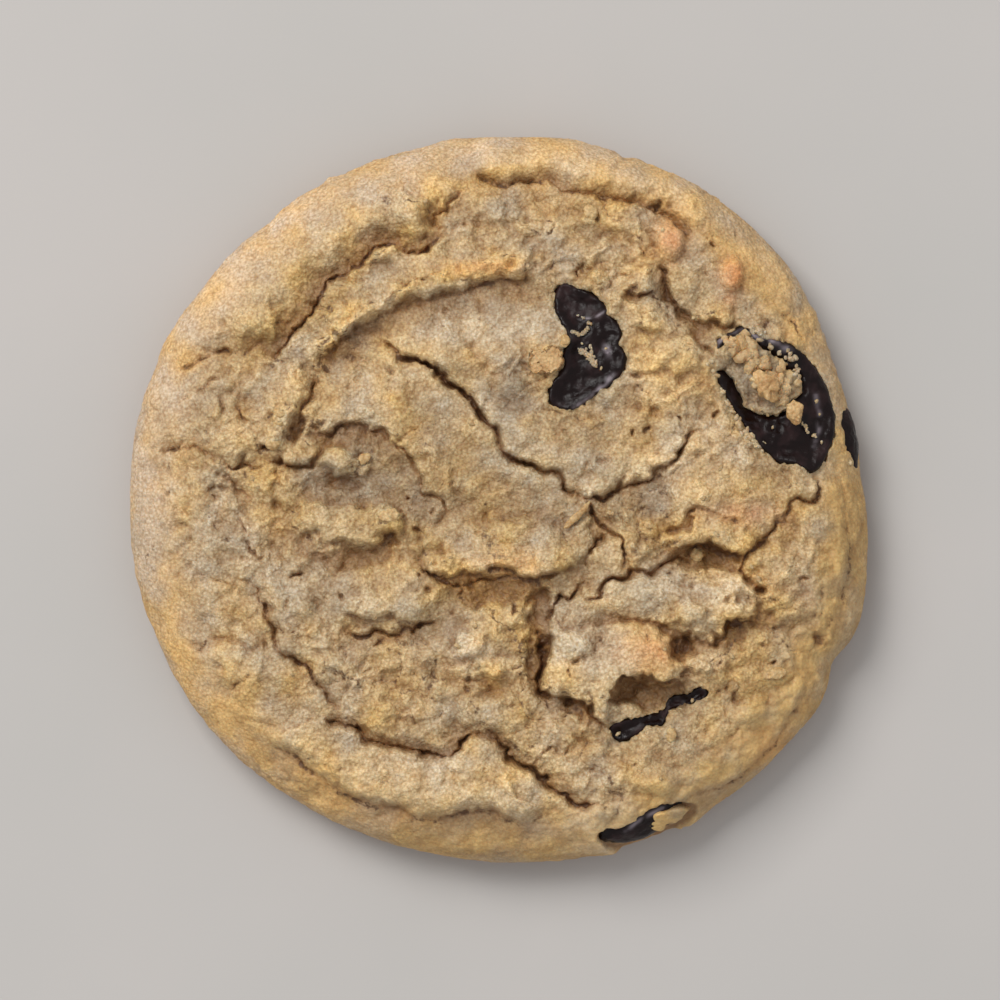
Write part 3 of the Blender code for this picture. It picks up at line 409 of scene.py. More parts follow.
# %% Lumps (x, y, half length, half width, turn, height, steepness)
LUMPS = (
    (4.9, -14.2, 1, 3.4, 4, -0.8, 1.4), (-0.2, 10.8, 1.6, 1.8, 0, -0.35, 1.2),
    (23, -13.5, 1.6, 1.2, 20, 0.45, 1.6), (26.2, -12.9, 1.3, 1, 0, 0.4, 1.6),
    (28.3, -13.4, 1.1, 0.9, 0, 0.4, 1.6), (16.6, 18.6, 1.5, 1.2, 0, 0.4, 1.5),
    (-1.5, 19.4, 8.5, 3.4, 8, 0.7, 1), (12.6, -3.2, 1.6, 3.2, 15, -0.6, 1.2),
    (11.2, -8.4, 2.4, 1.8, 0, -0.5, 1.2), (4.6, -13.2, 1.4, 2.4, 0, -0.6, 1.2),
    (24, 3.6, 6.5, 4, 15, 0.5, 1), (28.5, -15.8, 3.6, 1.6, 10, -0.5, 1),
    (-22.6, -2, 2, 1.8, 0, 0.5, 1.3), (-13.3, -2.2, 1.8, 1.5, 0, 0.7, 1.4),
    (-18.5, -4.2, 3, 1, -6, 0.3, 1.5), (-19.6, 4.8, 1.9, 1, 10, 0.5, 1.6),
    (-3.6, -17.2, 1.6, 1.4, 0, 0.6, 1.5), (0.6, -15.6, 1.4, 1.8, 0, 0.4, 1.5),
    (-25.6, 10, 1.6, 1.2, 0, 0.5, 1.6), (-27.2, 6.9, 1.3, 1.2, 0, 0.5, 1.6),
    (-30.6, 7.2, 1.8, 1.5, 0, 0.4, 1.5), (-24.6, 12.4, 1.6, 2.2, 0, 0.5, 1.4),
    (-28.6, 13.4, 2.4, 1.8, 30, 0.4, 1.3), (-27, 1.8, 2.6, 1.8, -20, 0.5, 1.3),
    (-29, -3, 2.4, 1.8, 0, 0.35, 1.3), (-24.6, -12, 2.8, 1.8, 40, 0.35, 1.3),
    (-21.6, -18.6, 2, 3, 30, 0.35, 1.3), (-8.6, -18.6, 2.6, 1.2, 10, 0.4, 1.4),
    (-15, -26, 2.8, 1.6, 0, 0.4, 1.3), (-4, -31.8, 2.6, 1.4, -5, 0.6, 1.4),
    (2.2, -34.6, 2.2, 1.6, -20, 0.4, 1.3), (8, -27.6, 2.2, 1.8, 0, 0.5, 1.4),
    (12.8, -30.6, 1.6, 1.3, 0, 0.5, 1.6), (21.6, -30.4, 2.2, 1.4, 10, 0.4, 1.4),
    (26, -20.8, 1.6, 1.2, 0, 0.4, 1.5), (30.6, -25.4, 1.8, 1.3, 20, 0.4, 1.5),
    (31.4, -17.2, 1.6, 1.2, 0, 0.4, 1.5), (36.6, -6.6, 1.6, 1.4, 0, 0.4, 1.5),
    (27, -10.6, 2, 1.3, 0, 0.5, 1.5), (17.6, -12.2, 2.2, 1.2, 0, 0.4, 1.5),
    (8.2, -17.6, 1.8, 1.5, 0, 0.5, 1.4), (7.4, -21.4, 1.2, 1.4, 0, 0.4, 1.5),
    (22.8, 1, 2.4, 1.6, 20, 0.4, 1.3), (30.4, 1.6, 2.2, 1.6, 0, 0.4, 1.3),
    (15, 4.6, 2.6, 1.6, 10, 0.4, 1.3), (9.4, 4.6, 1.8, 1.6, 0, 0.35, 1.4),
    (4.6, 8.6, 2, 1.8, 0, 0.35, 1.4), (22, 12.2, 2.2, 1.6, 30, 0.4, 1.4),
    (13, 29.6, 2.2, 1.6, 0, 0.4, 1.4), (5.6, 33, 2.6, 1.4, 0, 0.35, 1.4),
    (11.5, 12, 12, 10.5, 0, 1.1, 1), (-7.5, 9.5, 11, 5.5, -42, 0.8, 1), (3, -6.4, 7.5, 3, 0, 0.8, 1),
    (-18.2, -2.6, 6.5, 2.8, 2, 0.4, 1), (-13, -11.2, 5, 3.2, -8, 0.9, 1),
    (27, -0.8, 7.5, 3.2, 4, 0.5, 1), (26, 6, 7, 5, 35, 0.5, 1), (22, -12.2, 8, 3.4, -4, 0.6, 1),
    (10.5, -19, 5, 4.6, 0, 0.5, 1), (18, -18.4, 3.4, 2.6, -10, 0.7, 1),
    (-1.6, -16.8, 2.2, 3.6, 15, 0.8, 1), (-9, -34.2, 12, 2.8, -8, 0.5, 1),
    (-1.5, -20.3, 4, 1.3, 0, 0.6, 1.5), (20.6, 31.4, 1.5, 2.1, 5, 1.5, 1.3),
    (28, 27.2, 1.3, 1.7, 0, 1.4, 1.3), (-33, 6.5, 3, 2.5, 0, 0.4, 1),
    (5.6, 16.7, 2.1, 1.6, 10, 0.8, 1.8), (7.6, 19.1, 0.7, 0.9, 0, 0.5, 2),
    (10.8, 34.6, 1, 1.1, 0, 0.6, 2), (14, 34, 1.7, 1.4, 0, 0.5, 1.5),
    (16.4, 33.2, 0.9, 0.9, 0, 0.4, 2), (18.4, 21.8, 3, 2, 0, 0.5, 1.3),
    (17.5, 16.8, 2, 1.3, 10, 0.7, 1.6), (21, 17.6, 2.4, 1.5, -20, 0.5, 1.4),
    (19, 13.4, 3.2, 1.6, 0, 0.3, 1), (23, -13.6, 1.6, 1.4, 0, 0.8, 1.8),
    (28.3, -13.4, 1.1, 1, 0, 0.6, 2), (13.5, -11.8, 1.8, 1.6, 0, 0.5, 1.5),
    (12.8, -7.6, 2.2, 2.6, 0, 0.4, 1.3), (16.6, -30, 2.6, 1.5, 15, 0.6, 1.4),
    (20.6, -28.4, 0.9, 1, 0, 0.6, 2), (24, -19.8, 1.3, 1, 0, 0.5, 1.6),
    (26.6, -19.2, 1.2, 1.1, 0, 0.5, 1.5), (34.2, -18.5, 1.7, 1.7, 0, 0.5, 1.5),
    (33.5, -21.2, 2.2, 1, 10, 0.4, 1.4), (37.6, -3, 2, 1.8, 0, 0.6, 1.4),
    (36.6, 2.2, 1.6, 2.2, 10, 0.7, 1.4), (33.6, -7.5, 2.3, 1.8, 0, 0.5, 1.3),
    (34.5, -12.5, 2.4, 1.6, -20, 0.5, 1.3), (41.2, -6.5, 1.2, 2.6, 0, 0.4, 1.2),
    (17.8, -3, 1, 0.9, 0, 0.5, 2), (23.9, -6.7, 0.9, 0.8, 0, 0.7, 2),
    (13, -33.6, 2.6, 1.6, 15, 0.5, 1.2), (18, -34.6, 2.2, 1.2, 0, 0.4, 1.2),
    (24, -32.2, 3, 1.8, 15, 0.4, 1), (28, -27, 3.6, 2, 30, 0.4, 1),
    (10.3, -12.9, 2.2, 1.5, 25, 0.4, 1.4), (-21.5, -13.5, 3.4, 3, 0, 0.3, 1),
    (-13, -19, 4, 1.7, 0, 0.3, 1), (-9.3, -23.6, 3.6, 2.4, 0, 0.5, 1.2), (-1, -26, 4, 2, 0, 0.4, 1.2),
    (-32, -20, 4, 3, -20, 0.3, 1), (-26, -24, 5, 4, -30, 0.4, 1), (-6, -5, 3.5, 2.5, 0, 0.3, 1),
    (-16.2, 10.6, 1.1, 0.8, 0, 0.4, 2), (-18.4, 5, 3.4, 1.3, 3, 0.4, 1.3),
    (27.5, 8.6, 1.6, 1, -60, 0.4, 1.5), (32.4, 13.4, 1.6, 1.2, -50, 0.6, 1.6),
    (35.8, 10.2, 0.9, 1.3, 0, 0.9, 2.4), (12.3, 2.7, 2.6, 1.6, 0, 0.5, 1.2),
    (12.2, 27, 1.2, 1.1, 0, 0.5, 1.6), (14, 23.6, 1, 1.4, 0, 0.5, 1.8),
    (-18.6, 2, 2.2, 0.9, -10, -0.6, 1.2), (25, -6.6, 4, 1.4, 0, -0.8, 1),
    (0.5, -11.2, 6.5, 1.7, 0, -0.6, 1), (16.9, -23.2, 2.8, 1.7, 0, -0.9, 1.3),
    (16, 12.4, 1.5, 1.5, 0, -0.4, 1), (-18, -7, 4, 1.2, 5, -0.4, 1),
    (4.3, -19.8, 0.9, 3.2, 0, -0.9, 1.3), (1.4, 12, 1.2, 1.4, 0, -0.3, 1))
print(len(LUMPS), "lumps")

# %% Flakes (height, edge, outline)
FLAKES = {
    "golden_flake": (0.85, 0.7, (
        (-24.4, -2), (-23, -0.4), (-20, -0.2), (-16.5, -0.8), (-13.3, -0.7), (-11.8, -1.5),
        (-11.5, -2.7), (-12.3, -3.5), (-12.8, -4), (-15.5, -4.6), (-17.5, -4.9), (-20.5, -5.2),
        (-21.7, -4.9), (-21.9, -4.2), (-23.3, -3.7))),
    "curl": (0.9, 0.7, (
        (-21.8, 4.3), (-20.8, 5.4), (-18.8, 5.9), (-17, 5.2), (-16.1, 4), (-16.6, 3), (-18.2, 3.3),
        (-20, 3.3))),
    "pale_plate": (0.9, 0.6, (
        (6.3, -16.2), (5.9, -20.5), (5.9, -22.5), (7, -23.5), (9.5, -24), (10.7, -24.8), (12.5, -26.3),
        (13.3, -24.5), (13.5, -23), (14.2, -21.8), (15, -20.8), (17, -20.9), (19.5, -21.6),
        (21.5, -21.4), (22.6, -20.6), (21.8, -19.6), (20.7, -18.3), (20.7, -17.1), (19, -15.6),
        (17, -14.9), (13, -14.9), (9, -15.8))),
    "pale_crumb": (0.7, 0.5, (
        (13, -10.4), (17, -9.8), (22, -8.8), (27, -8.6), (29.6, -9.8), (31, -11.9), (30, -14.3),
        (27.8, -14.9), (26.4, -16.2), (24, -16.6), (21.5, -15.9), (19.5, -14.8), (15.5, -14.2),
        (13.4, -12.8))),
    "finger": (0.45, 0.9, (
        (-5.6, -17.8), (-4.4, -15.8), (-2.8, -14), (0.6, -13.2), (2.8, -14.2), (3.2, -16.8),
        (2.4, -18.6), (-1, -18.7), (-3, -19), (-5.2, -18.9))),
    "south_finger": (0.4, 0.8, (
        (-5.4, -20), (-3, -19.6), (1.6, -19.7), (3.2, -20.6), (2.2, -21.6), (-2, -21.5),
        (-4.6, -21.3))),
}
print(len(FLAKES), "flakes")

# %% [markdown]
# ## Where the chocolate lies
# Three chunks are open to the top. Each gets an outline, the dough sinks inside it, and the
# chunk fills the hollow. A chunk laid on top would look stuck on, and a hollow lets the dough
# close round it. A tongue of dough and a few crumbs lie over the right one. One more chunk
# shows through a window in the rim, and a small tongue of dough hangs into that.

# %% Outlines of the open chunks, and of the dough that covers chocolate
CHUNKS = {
    "chocolate_upper": (
        (7.2, 25.6), (8, 26), (9.2, 25.5), (10.5, 25), (11.7, 24.3), (12.6, 23.3), (12.8, 22.5),
        (14, 21.4), (14.5, 20.2), (14.3, 18.8), (15, 17.5), (14.9, 16.3), (14.3, 15.2), (13.4, 14.3),
        (11, 12.6), (9.3, 11.4), (8, 11), (6.7, 11.4), (6.1, 12.3), (6.3, 13.8), (7, 14.8), (8, 16.3),
        (7.8, 17.6), (8.4, 18.9), (8.2, 20.3), (7.6, 21.3), (7, 22.7), (6.8, 24.2)),
    "chocolate_right": (
        (28.3, 20.2), (29.5, 20.7), (31.5, 19.5), (34, 19), (36.3, 18), (38.3, 15.7), (39.7, 13.2),
        (40.5, 10.3), (40.3, 7.6), (39.2, 5), (37.9, 3.6), (36, 4.5), (33.7, 4.8), (32.7, 5.8),
        (31.5, 6.7), (30.3, 8.3), (28.7, 10.8), (27.2, 13.3), (26.5, 14.5), (26.2, 17), (26.6, 19)),
    "chocolate_lower": (
        (13.6, -27.4), (15.5, -26.7), (17.5, -26.2), (19.7, -25.5), (20.5, -24.2), (21.2, -23.9),
        (23, -23.5), (24, -22.9), (24.9, -23.1), (24.8, -23.9), (23, -24.7), (21, -25), (20.3, -25.7),
        (19.6, -27.1), (18, -27.2), (17, -28), (15.2, -28.9), (14.1, -28.9), (13.5, -28.2)),
}
TONGUE = (
    (25.6, 17.4), (26.9, 18.6), (28.2, 19.9), (30, 19.9), (31.2, 18.6), (33, 17.7), (34.2, 17.1),
    (35, 16), (36.3, 15.3), (36.7, 14.1), (37, 13.2), (36.3, 12.5), (35.3, 11.9), (34.6, 10.7),
    (33.3, 10.3), (31.9, 10.4), (30.6, 10.9), (29.6, 11.6), (28.9, 12.9), (28.4, 14.2), (27.6, 15.4),
    (25.8, 15.9))
RIM_WINDOW = (
    (11.8, -41), (12.6, -40.3), (14, -39.8), (15.5, -39.3), (17, -38.7), (18.2, -37.9), (19.5, -37),
    (21.2, -36.6), (23.4, -36.7), (23.8, -37.9), (23.2, -38.8), (21.4, -40), (19.4, -41.2),
    (17, -42.2), (14.9, -42.7), (13, -42.3))
RIM_TONGUE = (
    (18, -39.1), (18.8, -38.1), (20, -37.5), (21.6, -37.2), (22.8, -37.6), (22.2, -38.5),
    (20.6, -39.4), (19, -39.9))
POCKET_DEPTH = 1.6
print(len(CHUNKS), "chunks lie open")

# %% [markdown]
# ## Reading a route
# Each fold needs the distance from any spot of the crust to its route, and the side it is on.
# Straight stretches would leave corners, so a smooth curve is laid through the route. The
# nearest of its close-set points is found, and the side comes from a cross product with the
# curve's direction there.

# %% A smooth curve through a route
ROUTE_STEP = 0.3  # mm between the curve's points
BLOCK = 5000  # spots looked up at a time, which keeps the memory small


def smooth_route(points, closed=False):
    """Points a fixed distance apart along a Catmull-Rom curve through a route."""
    p = np.asarray(points, float)
    if closed:
        x, y = p.T
        if np.sum(x * np.roll(y, -1) - y * np.roll(x, -1)) < 0.0:
            p = p[::-1]
        p = np.vstack([p[-1], p, p[:2]])
    else:
        p = np.vstack([2 * p[0] - p[1], p, 2 * p[-1] - p[-2]])
    found = []
    for a, b, c, d in zip(p, p[1:], p[2:], p[3:]):
        count = max(1, round(np.linalg.norm(c - b) / ROUTE_STEP))
        t = np.linspace(0.0, 1.0, count, endpoint=False)[:, None]
        found.append(catmull_rom(a, b, c, d, t))
    return np.vstack([*found, p[-2:-1]])


# %% Distance from a route, and what lies inside an outline
def beside_route(xy, points, closed=False):
    """Signed distance of each spot from a route, positive on the left, and how far along it."""
    curve = smooth_route(points, closed)
    way = np.gradient(curve, axis=0)
    if closed:
        way[0] = way[-1] = curve[1] - curve[-2]
    way /= np.linalg.norm(way, axis=1)[:, None]
    length = np.concatenate([[0.0], np.cumsum(np.linalg.norm(np.diff(curve, axis=0), axis=1))])
    nearest = np.empty(len(xy), int)
    for start in range(0, len(xy), BLOCK):
        block = xy[start:start + BLOCK]
        gap = ((block[:, None, :] - curve[None, :, :]) ** 2).sum(2)
        nearest[start:start + BLOCK] = gap.argmin(1)
    off = xy - curve[nearest]
    across = way[nearest, 0] * off[:, 1] - way[nearest, 1] * off[:, 0]
    along = (way[nearest] * off).sum(1)
    beyond = np.maximum(np.abs(along) - ROUTE_STEP, 0.0)
    side = np.where(across < 0.0, -1.0, 1.0)
    return side * np.hypot(across, beyond), length[nearest], length[-1]


def near_route(xy, points, margin):
    """Which spots are within a margin of a route's box."""
    p = np.asarray(points)
    return ((xy > p.min(0) - margin) & (xy < p.max(0) + margin)).all(1)


def inside(xy, outline, edge):
    """1 inside a closed outline, 0 outside, with a soft edge of some width."""
    found = np.zeros(len(xy))
    near = near_route(xy, outline, edge)
    if near.any():
        gap = beside_route(xy[near], outline, closed=True)[0]
        found[near] = smoothstep(gap / edge + 0.5)
    return found


def tapered(along, total, taper, start=0.0):
    """1 along a route, falling to 0 at both its ends."""
    return smoothstep((along + start) / taper) * smoothstep((total - along + start) / taper)


def from_middle(xy, middle, halves, degrees):
    """How far out spots are in a turned oval: 0 in its middle and 1 on its edge."""
    c, s = math.cos(math.radians(degrees)), math.sin(math.radians(degrees))
    off = (xy - middle) @ np.array(((c, -s), (s, c))) / halves
    return np.hypot(off[:, 0], off[:, 1])


# %% [markdown]
# ## The height of the crust
# All the folds, cracks, lumps and flakes add up to one height over the plain dome. Before that
# each spot strays a little, which breaks the smooth routes into ragged edges. One height for
# each spot is simple and quick, and enough for a crust that has no real overhangs.

# %% Where the crust stayed smooth
SMOOTH = (  # x, y, half length, half width, turn, how smooth
    (-31, 25, 18, 7, 50, 0.75), (-41, -2, 5, 18, 0, 0.3), (26, -30, 9, 6, 35, 0.6),
    (-33, -22, 13, 7, -52, 0.8), (-6, -34, 14, 4.5, -6, 0.7), (-4, -42, 22, 4, 0, 0.9),
    (-4, 10, 15, 5, -45, 0.7), (2, 41, 20, 4, 0, 0.8), (-3, 22, 10, 4, 12, 0.5),
    (11, 6, 8, 4, 10, 0.3), (28, 5, 6, 6, 0, 0.3), (-17, 10.6, 6, 1.8, -10, 0.9),
    (27, -1, 7, 2.5, 0, 0.3), (34, 32, 7, 9, -45, 0.6), (43, -4, 5, 22, 0, 0.8),
    (30, -35, 16, 4, 45, 0.5), (20.6, 31.4, 2.4, 2.8, 0, 1.1), (28, 27.2, 2.2, 2.6, 0, 1.1),
    (16, -11.5, 9, 4, 0, 0.45), (-16, -12.5, 9, 4.5, 0, 0.45), (22, -1, 8, 3.5, 0, 0.25),
    (-14, 2, 8, 5, 0, 0.2))
print(len(SMOOTH), "smooth parts")


def crumbliness(xy):
    """1 where the dough is broken and crumbly, less where its skin stayed whole."""
    rough = np.ones(len(xy))
    for x, y, half_length, half_width, degrees, smooth in SMOOTH:
        away = from_middle(xy, (x, y), (half_length, half_width), degrees)
        rough *= 1.0 - 0.8 * smooth * smoothstep(1.6 - away)
    return rough * (1.0 - 0.55 * smoothstep((share_of(xy) - 0.86) / 0.1))


def share_of(xy):
    """How far out a spot is, as a share of the rim's radius there."""
    return np.hypot(*xy.T) / rim_radius(np.arctan2(xy[:, 1], xy[:, 0]))


# %% Height of one fold
FOLD_REACH = 10.0  # mm from its route beyond which a fold does nothing
FOLD_TAPER = 2.5


def fold_height(xy, fold):
    """Both plates of one fold and the crack between them, and how near the crack is."""
    left, left_round, right, right_round, cut, width, route = fold
    height, line = np.zeros(len(xy)), np.zeros(len(xy))
    near = near_route(xy, route, FOLD_REACH)
    if not near.any():
        return height, line
    gap, along, total = beside_route(xy[near], route)
    x, y = xy[near].T
    ends = tapered(along, total, min(FOLD_TAPER, 0.35 * total))
    raised = np.zeros(len(x))
    for rise, lip, far in ((left, left_round, gap), (right, right_round, -gap)):
        far = np.clip(far, 0.0, None)
        raised += rise * smoothstep(far / lip) * np.exp(-(np.clip(far - lip, 0, None) / 3.4) ** 2)
    raised -= 0.3 * (max(left, 0.0) + max(right, 0.0)) * np.exp(-(gap / 5.0) ** 2)
    depth = 0.6 * cut * np.clip(0.75 + 0.9 * ripple(x, y, 1.7, 14), 0.15, 1.4)
    wide = width * (0.42 + 0.32 * ripple(x, y, 1.5, 15))
    height[near] = ends * (1.5 * raised - depth * np.exp(-(gap / wide) ** 2))
    if cut > 0.2:
        strength = min(1.0, 0.45 + 0.25 * cut) * (0.68 + 0.75 * ripple(x, y, 1.9, 21))
        line[near] = ends * strength * np.exp(-(gap / (0.15 + 0.48 * width)) ** 2)
    return height, line


# %% Height of one hair crack, one lump and the chunks' pockets
def fissure_depth(xy, fissure):
    """Depth of one hair crack, and how near it is."""
    depth, width, route = fissure
    found, line = np.zeros(len(xy)), np.zeros(len(xy))
    near = near_route(xy, route, 1.5)
    if near.any():
        gap, along, total = beside_route(xy[near], route)
        ends = tapered(along, total, 0.8, 0.2)
        x, y = xy[near].T
        uneven = np.clip(0.7 + 0.9 * ripple(x, y, 1.3, 19), 0.1, 1.3)
        crack = 0.75 * depth * uneven * np.exp(-(gap / (0.85 * width)) ** 2)
        found[near] = ends * (crack - 0.14 * np.exp(-gap ** 2))
        line[near] = ends * (0.22 + 0.42 * depth) * uneven * np.exp(-(gap / 0.35) ** 2)
    return found, line


def lump_height(xy, lump):
    """One swelling or hollow."""
    x, y, half_length, half_width, degrees, height, steep = lump
    away = from_middle(xy, (x, y), (half_length, half_width), degrees)
    return height * smoothstep(steep * (1.0 - away) + 0.5)


CHUNK_STRAY = ((0.3, 0.9, 16, 17), (0.25, 0.45, 23, 24))  # reach, size and seeds


def in_chunks(xy, edge=0.35):
    """1 where open chocolate shows, 0 on dough."""
    covered = np.zeros(len(xy))
    xy = np.column_stack(bent(*xy.T, CHUNK_STRAY))
    for outline in CHUNKS.values():
        covered = np.maximum(covered, inside(xy, outline, edge))
    return covered * (1.0 - inside(xy, TONGUE, edge))


# %% All the forms together
STRAY = ((2.7, 0.5), (1.2, 0.42), (0.6, 0.28))  # size of a stray and how far it goes
RIM_SWELL = (16.9, -38.6, 8.5)  # middle and radius of the bulge round the rim's window


def form_height(xy):
    """Folds, lumps, flakes, cracks, pores and pockets together, in mm, and lines of painted crack
    shade.
    """
    x, y = xy.T
    rough = crumbliness(xy)
    strayed = xy.copy()
    for number, (size, reach) in enumerate(STRAY):
        strayed[:, 0] += reach * (0.4 + 0.6 * rough) * ripple(x, y, size, 10 + number)
        strayed[:, 1] += reach * (0.4 + 0.6 * rough) * ripple(x, y, size, 20 + number)
    height, lines = np.zeros(len(xy)), np.zeros(len(xy))
    for fold in FOLDS.values():
        rise, line = fold_height(strayed, fold)
        height += rise
        lines = np.maximum(lines, line)
    for lump in LUMPS:
        height += lump_height(strayed, lump)
    uneven = 1.0 + 0.5 * ripple(x, y, 2.4, 18)
    for rise, edge, outline in FLAKES.values():
        height += rise * uneven * inside(strayed, outline, edge)
    for fissure in FISSURES:
        depth, line = fissure_depth(strayed, fissure)
        height -= depth
        lines = np.maximum(lines, line)
    for px, py, radius, depth in PORES:
        pore = np.exp(-(np.hypot(*(strayed - (px, py)).T) / radius) ** 3)
        height -= depth * pore
        lines = np.maximum(lines, (0.35 + 0.3 * depth) * pore)
    height -= POCKET_DEPTH * in_chunks(xy)
    away = np.hypot(x - RIM_SWELL[0], y - RIM_SWELL[1]) / RIM_SWELL[2]
    window = inside(strayed, RIM_WINDOW, 0.5) * (1.0 - inside(strayed, RIM_TONGUE, 0.5))
    height += 1.1 * smoothstep(2.2 - 2.2 * away) * (1.0 - window) - 0.5 * window
    return height + 0.35 * inside(xy, TONGUE, 0.8), lines * (1.0 - in_chunks(xy))


print("the forms stray up to", round(sum(reach for _, reach in STRAY), 1), "mm each way")

# %% [markdown]
# ## Crumb and creases
# Broken dough shows its crumb: lumps of a few millimetres, smaller ones on them, and short
# creases between. They follow the skin round the rim, so they are read from spots that are
# unrolled flat. Noise is enough for these, as there are thousands and no one of them stands out.

# %% Crumb, creases and the sandy skin
CREASE_STRAY = ((0.45, 1.3, 131, 132), (0.2, 0.6, 133, 134))  # reach, size and seeds
CRUMB_STRAY = ((0.5, 2.0, 31, 32), (0.25, 0.8, 33, 34))


def crease_lines(xy, unrolled):
    """Short creases between the lumps of crumb: 1 on a crease, 0 away from it."""
    u, v = unrolled.T
    bent_u, bent_v = bent(u, v, CREASE_STRAY)
    near = np.zeros(len(u))
    for size, seed in ((4.6, 140), (3.0, 144)):
        line = np.exp(-(ripple(bent_u, bent_v, size, seed) * size / 0.34) ** 2)
        near = np.maximum(near, line * smoothstep(1.5 * ripple(u, v, 1.7 * size, seed + 2) + 0.45))
    return near * (0.15 + 0.85 * crumbliness(xy))


def crumb_height(xy, unrolled):
    """Swells and knobs of the crumb, strongest where the dough is broken."""
    u, v = unrolled.T
    rough = crumbliness(xy)
    bent_u, bent_v = bent(u, v, CRUMB_STRAY)
    height = 0.28 * swells(u, v, 6.5, 33, 2)
    height += (0.25 + 0.52 * rough) * knobs(bent_u, bent_v, 3.6, 36, 2)
    height += (0.08 + 0.18 * rough) * knobs(bent_u, bent_v, 1.5, 38, 2)
    patchy = 1.0 + 0.6 * ripple(u, v, 4.0, 35)
    height += (0.15 + 0.42 * rough) * patchy * (grains(bent_u, bent_v, 1.7, 44) - 0.5)
    height += (0.2 + 0.28 * rough) * patchy * (grains(bent_u, bent_v, 0.9, 45) - 0.5)
    return height - 0.22 * crease_lines(xy, unrolled)


def fine_grain(unrolled):
    """The sandy skin: crumbs and sugar grains well under a millimetre."""
    u, v = unrolled.T
    return 0.1 * (grains(u, v, 0.62, 50) - 0.5) + 0.05 * swells(u, v, 1.3, 52, 2)


# %% [markdown]
# ## A map of hollows and crests
# Colour follows shape. Hollows are painted brown and dark, which is painted shade with some real
# browning, and crests are painted a pale gold, which is painted light with some golden baking.
# The crust's height is sampled on a square mesh of spots, blurred, and compared with the height
# itself. Above the blurred height is a crest, below it a hollow. A map also saves time, as every
# piece that lies on the crust reads its height from there.

# %% Blurring and reading a map
MAP_STEP = 0.13
axis = np.arange(-46.9, 47.0, MAP_STEP)  # just past the rim on every side
map_x, map_y = np.meshgrid(axis, axis, indexing="ij")
map_xy = np.column_stack([map_x.ravel(), map_y.ravel()])


def blurred(field, size):
    """A field blurred by a bell curve of one size, in mm."""
    reach = int(3 * size / MAP_STEP) + 1
    bell = np.exp(-0.5 * (np.arange(-reach, reach + 1) * MAP_STEP / size) ** 2)
    bell /= bell.sum()
    padded = np.pad(field, reach, mode="edge")
    padded = np.apply_along_axis(np.convolve, 0, padded, bell, "valid")
    return np.apply_along_axis(np.convolve, 1, padded, bell, "valid")


def read_map(field, xy):
    """A field's value at any spots, between its own."""
    place = np.clip((xy - axis[0]) / MAP_STEP, 0.0, len(axis) - 1.001)
    low = place.astype(int)
    u, v = (place - low).T
    i, j = low.T
    return ((field[i, j] * (1 - u) + field[i + 1, j] * u) * (1 - v)
            + (field[i, j + 1] * (1 - u) + field[i + 1, j + 1] * u) * v)


# %% The section, and the skin unrolled
TOP_STEPS, CURL_STEPS = 60, 14
TOP_POINTS = 2 * TOP_STEPS - 1


def section():
    """The cookie's section from the crown to the foot, as shares of the radius and heights."""
    inner = np.linspace(0.0, SHOULDER, TOP_STEPS)
    outer = 1.0 - (1.0 - SHOULDER) * (1.0 - np.linspace(0.0, 1.0, TOP_STEPS)[1:]) ** 2
    share = np.concatenate([inner, outer])
    top = np.column_stack([share, dome_height(share)])
    quarter = np.linspace(0.0, math.pi / 2, CURL_STEPS)[1:]
    curl = np.column_stack([FOOT + (1.0 - FOOT) * np.cos(quarter),
                            WAIST_HEIGHT * (1.0 - np.sin(quarter))])
    return np.vstack([top, curl])


PROFILE = section()
RUN = np.hypot(*np.diff(PROFILE * (MEAN_RADIUS, 1.0), axis=0).T)
ARC = np.concatenate([[0.0], np.cumsum(RUN)])


def unroll(xy):
    """Spots on the top laid flat, with the rim's steep side rolled out."""
    length = np.maximum(np.hypot(*xy.T), 1e-6)
    arc = np.interp(share_of(xy), PROFILE[:TOP_POINTS, 0], ARC[:TOP_POINTS])
    return xy * (arc / length)[:, None]


print("from crown to foot the skin is", round(ARC[-1], 1), "mm long")

# %% The maps
form_map, crack_shade_map = (field.reshape(map_x.shape) for field in form_height(map_xy))
crust_map = form_map + crumb_height(map_xy, unroll(map_xy)).reshape(map_x.shape)
pocket_map = in_chunks(map_xy).reshape(map_x.shape)
near_level = blurred(crust_map, 0.7)
near_pocket = blurred(pocket_map, 0.7)
bare_form = form_map + POCKET_DEPTH * pocket_map
form_level = blurred(bare_form, 2.4)
print("crust between", round(crust_map.min(), 1), "and", round(crust_map.max(), 1), "mm")
